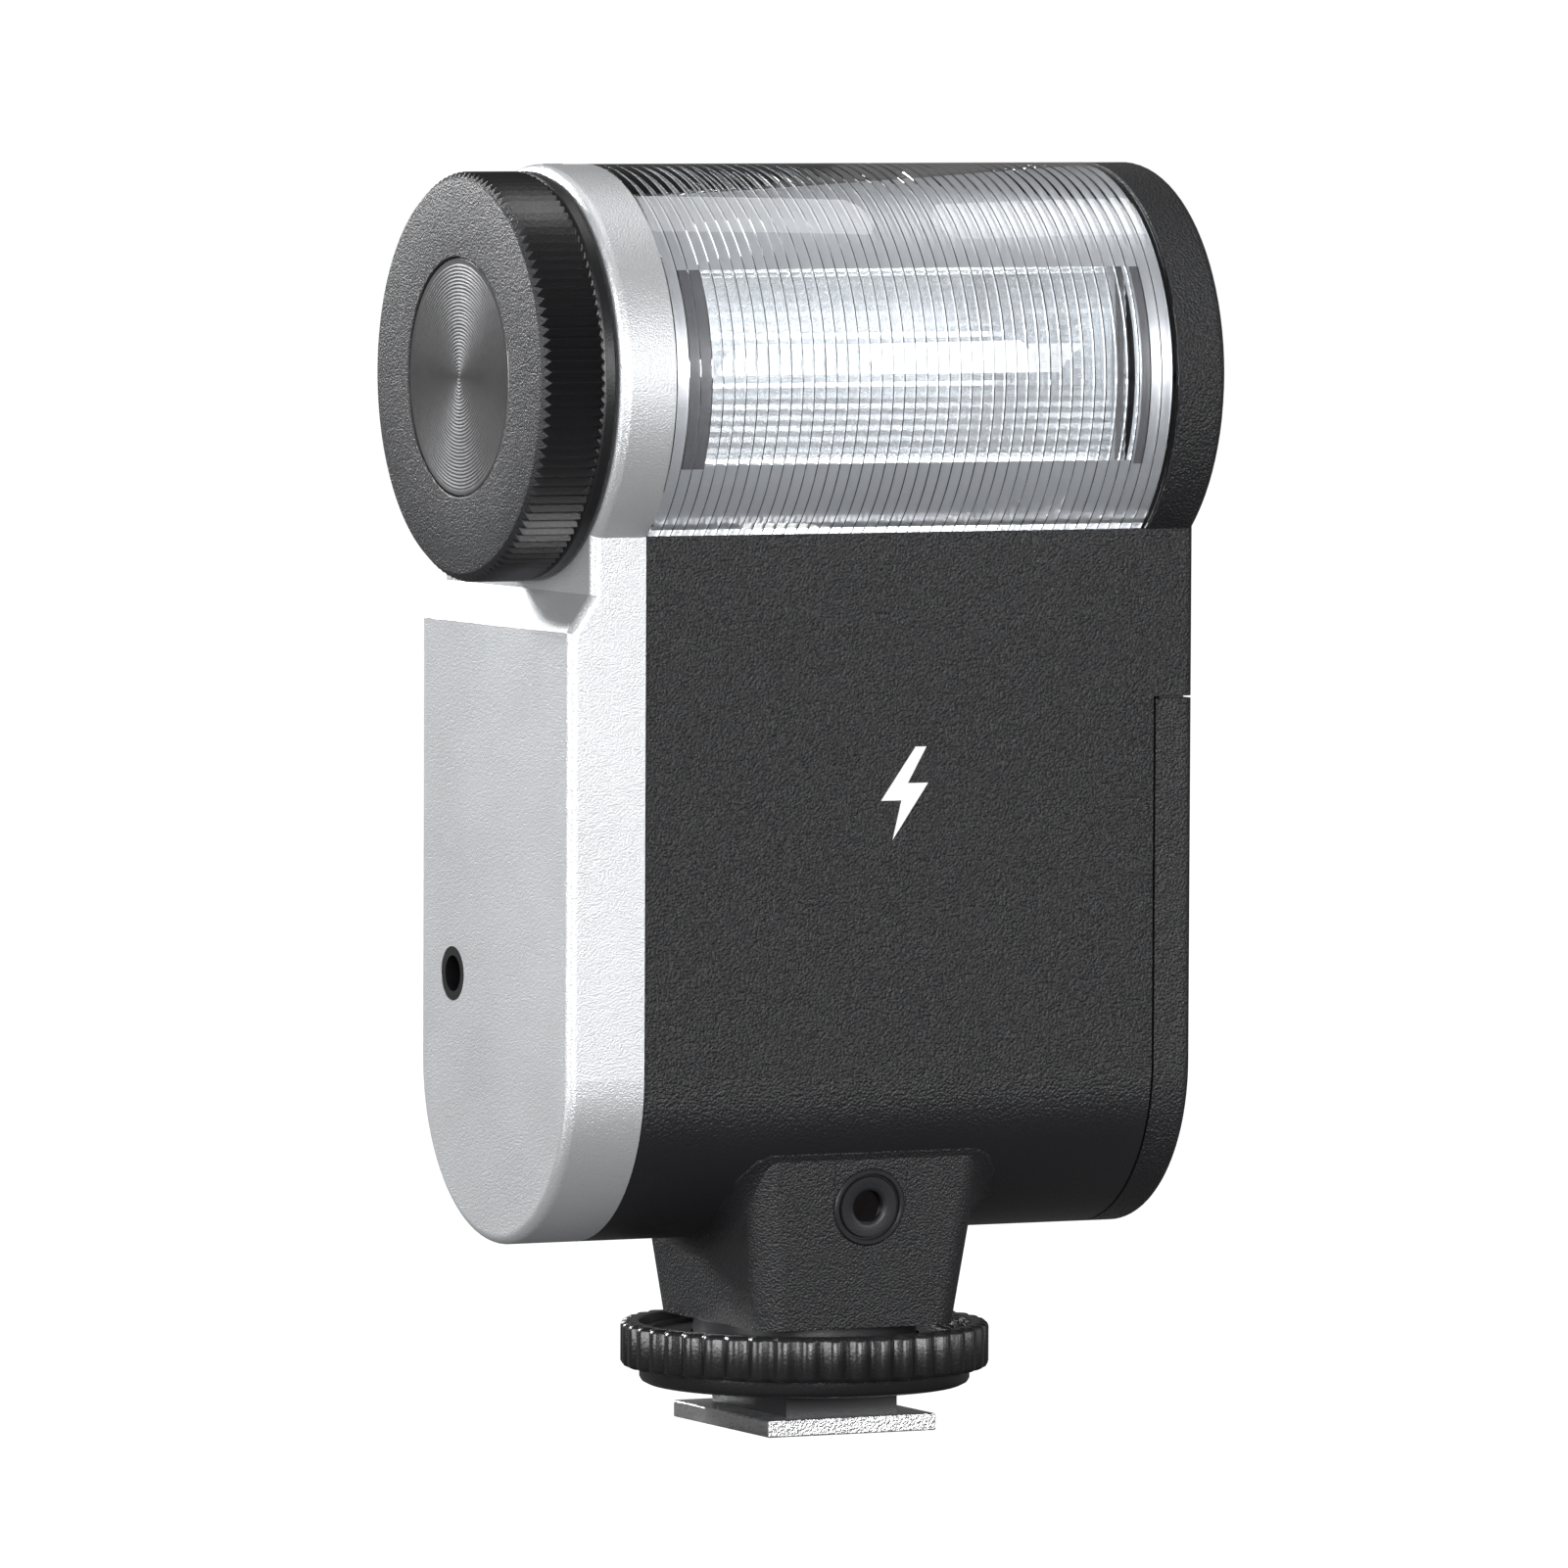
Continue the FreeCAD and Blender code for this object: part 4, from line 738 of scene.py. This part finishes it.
def make_lock_ring():
    low, high = span("lock_ring")
    outer = (high.x - low.x) / 2
    flange = outer - 1.9
    shelf = low.z + 1.4
    profile = [
        (shelf, RING_BORE),
        (shelf, RING_WELL),
        (low.z, RING_WELL),
        (low.z, flange - 0.7),
        (low.z + 0.25, flange - 0.2),
        (low.z + 0.6, flange),
        (low.z + 1.7, flange),
        (low.z + 1.7, outer - 0.55),
        (low.z + 1.85, outer - 0.2),
        (low.z + 2.2, outer),
        (high.z - 0.5, outer),
        (high.z - 0.2, outer - 0.12),
        (high.z, outer - 0.4),
        (high.z, outer - 1.7),
        (high.z - 0.12, outer - 1.85),
        (high.z - 0.8, outer - 2.0),
        (high.z - 0.8, outer - 3.2),
        (high.z - 1.2, outer - 3.3),
        (high.z - 1.2, RING_BORE),
    ]
    bm = spun(profile, "Z", (0, 0, 0), steps=SCALLOPS * 8)
    for vert in bm.verts:
        radius = math.hypot(vert.co.x, vert.co.y)
        if radius > outer - 0.6 and vert.co.z > low.z + 1.6:
            angle = math.atan2(vert.co.y, vert.co.x)
            phase = (angle * SCALLOPS / TURN) % 1.0
            dip = SCALLOP_DEPTH * math.cos(math.pi * min(abs(phase - 0.5) * 1.7, 0.5)) ** 0.8
            scale = (radius - dip) / radius
            vert.co.x *= scale
            vert.co.y *= scale
    finish_piece(bm, "locking_ring", "lock_ring", "black_gloss", ["lock_ring"], paint="ring_black", crease=38)


def pedestal_wall(angle, level, out):
    """A point of the pedestal's wall at an angle round it, moved outwards."""
    grow = PEDESTAL_TAPER * (level - PEDESTAL_BOTTOM)
    half_x = PEDESTAL_HALF_WIDTH + grow
    half_y = (PEDESTAL_BACK - PEDESTAL_FRONT) / 2 + grow
    side = Vector((math.cos(angle), math.sin(angle)))
    edge = side / max(abs(side.x) / half_x, abs(side.y) / half_y)
    flat_x = half_x - PEDESTAL_CORNER
    flat_y = half_y - PEDESTAL_CORNER
    core = Vector((max(-flat_x, min(flat_x, edge.x)), max(-flat_y, min(flat_y, edge.y))))
    away = (edge - core).normalized()
    spot = core + away * (PEDESTAL_CORNER + out)
    return spot.x, spot.y + (PEDESTAL_FRONT + PEDESTAL_BACK) / 2, away


def flare_point(angle, sweep, radius, centre_z):
    """A point of the skirt; radius and centre_z are those of the case's round bottom."""

    def case_level(y):
        inside = max(radius ** 2 - y * y, 0.01)
        return centre_z - math.sqrt(inside)

    x, y, away = pedestal_wall(angle, 24.0, 0)
    size = FLARE_LEAST + FLARE_AT_SIDES * away.x ** 2
    drop = size * (1 - math.sin(sweep)) + FLARE_PROUD
    x, y, away = pedestal_wall(angle, case_level(y) - drop, size * (1 - math.cos(sweep)) - 0.02)
    return Vector((x, y, case_level(y) - drop))


def make_flare():
    """The concave skirt between the pedestal's walls and the round underside of the case."""
    radius = (span("rear_shell")[1].y - CASE_FRONT) / 2
    centre_z = span("front_shell")[0].z + radius
    angles = [TURN * index / FLARE_POINTS for index in range(FLARE_POINTS)]
    bm = bmesh.new()
    loops = []
    for row in range(FLARE_ROWS + 1):
        sweep = row / FLARE_ROWS * math.pi / 2
        spots = [flare_point(angle, sweep, radius, centre_z) for angle in angles]
        loops.append([bm.verts.new(spot) for spot in spots])
    # The hidden back of the skirt lies inside the case and the pedestal's wall.
    loops.append([bm.verts.new(vert.co + Vector((0, 0, 0.6))) for vert in loops[-1]])
    hidden = []
    for vert in loops[0]:
        inner = Vector((vert.co.x * 0.94, vert.co.y * 0.94, vert.co.z + 0.3))
        hidden.append(bm.verts.new(inner))
    loops.append(hidden)
    for lower, upper in zip(loops, loops[1:] + loops[:1]):
        for index in range(FLARE_POINTS):
            after = (index + 1) % FLARE_POINTS
            bm.faces.new((lower[index], lower[after], upper[after], upper[index]))
    finish_piece(bm, "pedestal_flare", "case", "black_grain", (), crease=60)


def make_bezel():
    """The light sensor's bezel: a rim, a groove and an inner disc with a hole."""
    low, high = span("sensor_bezel")
    centre = middle("sensor_bezel")
    outer = (high.x - low.x) / 2
    hole = 1.65
    profile = [
        (2.4, hole),
        (0.25, hole),
        (0.05, hole + 0.2),
        (0.0, hole + 0.35),
        (0.0, outer - 0.85),
        (0.12, outer - 0.75),
        (0.3, outer - 0.7),
        (0.3, outer - 0.55),
        (-0.1, outer - 0.5),
        (-0.2, outer - 0.4),
        (-0.2, outer - 0.15),
        (-0.05, outer),
        (2.4, outer),
    ]
    bm = spun(profile, "Y", (0, 0, 0), steps=72)
    lean = math.atan(PEDESTAL_TAPER)
    bmesh.ops.rotate(bm, cent=(0, 0, 0), matrix=Matrix.Rotation(lean, 3, "X"), verts=bm.verts)
    face = PEDESTAL_FRONT - PEDESTAL_TAPER * (centre.z - PEDESTAL_BOTTOM)
    bmesh.ops.translate(bm, vec=(centre.x, face, centre.z), verts=bm.verts)
    finish_piece(bm, "sensor_rim", "case", "black_smooth", ["sensor_bezel"], crease=30)


def cad_copy(node):
    """A merged copy of a CAD node's mesh, in millimetres, without needless edges."""
    bm = bmesh.new()
    bm.from_mesh(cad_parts[node].data)
    bmesh.ops.scale(bm, vec=(1 / MM, 1 / MM, 1 / MM), verts=bm.verts)
    bmesh.ops.remove_doubles(bm, verts=bm.verts, dist=0.0005)
    bmesh.ops.dissolve_limit(bm, angle_limit=math.radians(0.5), verts=bm.verts, edges=bm.edges)
    return bm


def outer_edges(bm, low, high, reach=0.01):
    """The edges along which two sides of a box meet."""
    chosen = []
    for edge in bm.edges:
        sides = 0
        for axis in range(3):
            for level in (low[axis], high[axis]):
                if all(abs(vert.co[axis] - level) < reach for vert in edge.verts):
                    sides += 1
        if sides >= 2:
            chosen.append(edge)
    return chosen


def make_foot_plate():
    """The steel shoe plate, with broken edges and a rough sheared front and back."""
    low, high = span("foot_plate")
    bm = cad_copy("foot_plate")
    edges = outer_edges(bm, low, high)
    bmesh.ops.bevel(
        bm, geom=edges, offset=0.16, segments=2, profile=0.5, affect="EDGES", material=-1,
    )
    for face in bm.faces:
        face.normal_update()
        outermost = abs(face.calc_center_median().y) > high.y - 0.1
        face.material_index = 1 if abs(face.normal.y) > 0.9 and outermost else 0
    item = finish_piece(bm, "shoe_plate", "case", "foot_steel", ["foot_plate"], crease=25, turned_out=False)
    item.data.materials.append(FINISHES["sheared_steel"])


def add_screw_head(bm, centre, turn, radius, depth):
    """A round screw head with a cross recess, facing +Z before the turn."""
    made = bmesh.new()
    bmesh.ops.create_circle(made, segments=40, radius=radius - 0.15)
    rim_edges = list(made.edges)
    long = radius * 0.62
    half = radius * 0.13
    corners = [
        (long, half), (half, half), (half, long), (-half, long), (-half, half), (-long, half),
        (-long, -half), (-half, -half), (-half, -long), (half, -long), (half, -half), (long, -half),
    ]
    cross = [made.verts.new((x, y, 0)) for x, y in corners]
    cross_edges = [made.edges.new(pair) for pair in zip(cross, cross[1:] + cross[:1])]
    bmesh.ops.triangle_fill(made, use_beauty=True, use_dissolve=False, edges=rim_edges + cross_edges)
    floor = grown(made, cross_edges, lambda spot: Vector((spot.x * 0.7, spot.y * 0.7, -RECESS_DEPTH)))
    bmesh.ops.edgeloop_fill(made, edges=floor)
    wider = radius / (radius - 0.15)
    edge = grown(made, rim_edges, lambda spot: Vector((spot.x * wider, spot.y * wider, -0.15)))
    edge = grown(made, edge, lambda spot: Vector((spot.x, spot.y, -depth)))
    bmesh.ops.edgeloop_fill(made, edges=edge)
    bmesh.ops.recalc_face_normals(made, faces=made.faces)
    bmesh.ops.transform(made, matrix=Matrix.Translation(centre) @ turn.to_4x4(), verts=made.verts)
    take_in(bm, made)


def make_screws():
    """Crossed heads and plain shanks for the case and the foot."""
    low, high = span("case_screws")
    turn = Matrix.Rotation(-math.pi / 2, 3, "X")
    bm = bmesh.new()
    shank = [(low.y, 0), (low.y, SHANK_RADIUS), (high.y - 1.4, SHANK_RADIUS), (high.y - 1.4, 0)]
    for x in (low.x + HEAD_RADIUS, high.x - HEAD_RADIUS):
        for z in (low.z + HEAD_RADIUS, high.z - HEAD_RADIUS):
            add_screw_head(bm, Vector((x, high.y, z)), turn, HEAD_RADIUS, 1.5)
            add_spun(bm, shank, "Y", (x, 0, z), 24, closed=False)
    finish_piece(bm, "rear_screws", "case", "dark_screw", ["case_screws"], crease=30)
    low, high = span("foot_screws")
    turn = Matrix.Rotation(math.pi, 3, "X")
    bm = bmesh.new()
    shank = [(low.z + 0.7, 0), (low.z + 0.7, SHANK_RADIUS), (high.z, SHANK_RADIUS), (high.z, 0)]
    for x in (low.x + HEAD_RADIUS, high.x - HEAD_RADIUS):
        for y in (low.y + HEAD_RADIUS, high.y - HEAD_RADIUS):
            add_screw_head(bm, Vector((x, y, low.z)), turn, HEAD_RADIUS, 0.8)
            add_spun(bm, shank, "Z", (x, y, 0), 24, closed=False)
    finish_piece(bm, "plate_screws", "case", "bright_steel", ["foot_screws"], crease=30)


# ---------------------------------------------------------------- rear controls

def make_sliders():
    """Two slide caps with gripping ridges."""
    for name in ("power_slider", "mode_slider"):
        low, high = span(name)
        centre = (low + high) / 2
        bm = bmesh.new()
        block(bm, (low.x, high.y - 1.4, low.z), (high.x, high.y - 0.15, high.z))
        bmesh.ops.bevel(
            bm, geom=list(bm.edges), offset=0.15, segments=2, profile=0.5, affect="EDGES", material=-1,
        )
        block(bm, (centre.x - 1, low.y, centre.z - 0.7), (centre.x + 1, high.y - 1.3, centre.z + 0.7))
        for ridge in range(7):
            x = low.x + 0.75 + ridge * 0.75
            add_ridge(bm, x, high.y, low.z + 0.3, high.z - 0.3)
        finish_piece(bm, name + "_cap", name, "black_smooth", [name], crease=30)


def add_ridge(bm, x, y, low, high):
    """A gripping ridge along Z with a sloped crest."""
    made = block(bm, (x - 0.22, y - 0.2, low), (x + 0.22, y, high))
    crest = [vert for vert in made if vert.co.y > y - 0.01]
    space = Matrix.Translation((-x, -y, -(low + high) / 2))
    bmesh.ops.scale(bm, vec=(0.4, 1, 0.92), space=space, verts=crest)


def make_button():
    low, high = span("test_button")
    centre = (low + high) / 2
    collar = (high.x - low.x) / 2
    radius = collar - 0.7
    skirt = high.y - 2.1
    profile = [
        (low.y, 0.0), (low.y, 1.0), (skirt - 0.9, 1.0), (skirt - 0.9, collar), (skirt - 0.2, collar),
        (skirt - 0.2, radius), (high.y - 0.3, radius), (high.y - 0.08, radius - 0.08),
        (high.y, radius - 0.3), (high.y, radius - 0.55),
    ]
    for ring in range(1, 7):
        share = 1 - ring / 6
        profile.append((high.y - 0.3 * (1 - share * share), (radius - 0.55) * share))
    bm = spun(profile, "Y", (centre.x, 0, centre.z), steps=72, closed=False)
    finish_piece(bm, "button_cap", "test_button", "black_smooth", ["test_button"], crease=30)


def make_lamp():
    low, high = span("ready_lamp")
    centre = (low + high) / 2
    radius = (high.x - low.x) / 2
    profile = [(low.y, 0.0), (low.y, radius), (high.y - 0.12, radius)]
    for ring in range(1, 9):
        tilt = ring / 8 * math.pi / 2
        profile.append((high.y - 0.12 + 0.12 * math.sin(tilt), radius * math.cos(tilt)))
    bm = spun(profile, "Y", (centre.x, 0, centre.z), steps=48, closed=False)
    finish_piece(bm, "lamp_lens", "case", "lamp_amber", ["ready_lamp"], crease=50)


def make_scale_marks():
    """Plain ruled lines and ticks on the scale plate."""
    low, high = span("scale_plate")
    bm = bmesh.new()
    top = high.y + 0.02
    for row in range(1, 5):
        z = low.z + (high.z - low.z) * row / 5
        block(bm, (low.x + 2, high.y - 0.02, z - 0.08), (high.x - 2, top, z + 0.08))
    for column in range(9):
        x = low.x + 4 + column * (high.x - low.x - 8) / 8
        tall = 1.9 if column % 2 == 0 else 1.1
        for row in range(1, 5):
            z = low.z + (high.z - low.z) * row / 5
            block(bm, (x - 0.08, high.y - 0.02, z + 0.08), (x + 0.08, top, z + tall))
    finish_piece(bm, "scale_marks", "case", "plate_grey", (), paint="print_white", crease=30)


# ---------------------------------------------------------------- marks

def make_index_mark():
    """The dark line on top of the collar that the dial is set against."""
    top = span("lens_cover")[1].z
    y = middle("dial_knob").y
    left = span("dial_knob")[1].x + 0.9
    bm = bmesh.new()
    block(bm, (left + 0.6, y - 0.2, top - 0.1), (left + 2.6, y + 0.2, top + 0.03))
    finish_piece(bm, "index_mark", "case", "black_smooth", (), crease=30)


def make_bolt():
    """A plain printed bolt on the front."""
    outline = [
        (1.2, 4.6), (-2.6, -0.7), (-0.35, -0.7), (-1.3, -4.6), (2.6, 1.0), (0.35, 1.0), (2.4, 4.6),
    ]
    bm = bmesh.new()
    verts = [bm.verts.new((BOLT_X + x, CASE_FRONT - 0.03, BOLT_Z + z)) for x, z in outline]
    face = bm.faces.new(verts)
    made = bmesh.ops.extrude_face_region(bm, geom=[face])["geom"]
    moved = [item for item in made if isinstance(item, bmesh.types.BMVert)]
    bmesh.ops.translate(bm, vec=(0, 0.06, 0), verts=moved)
    finish_piece(bm, "bolt_mark", "case", "plate_grey", (), paint="print_white", crease=30)


make_camera()
make_studio()
make_floor()
finish_cad_nodes()
make_knob()
make_inlay()
make_lens()
make_panel()
make_bands()
make_lock_ring()
make_flare()
make_bezel()
make_foot_plate()
make_screws()
make_sliders()
make_button()
make_lamp()
make_scale_marks()
make_index_mark()
make_bolt()
make_cell_ends()
make_door_lip()
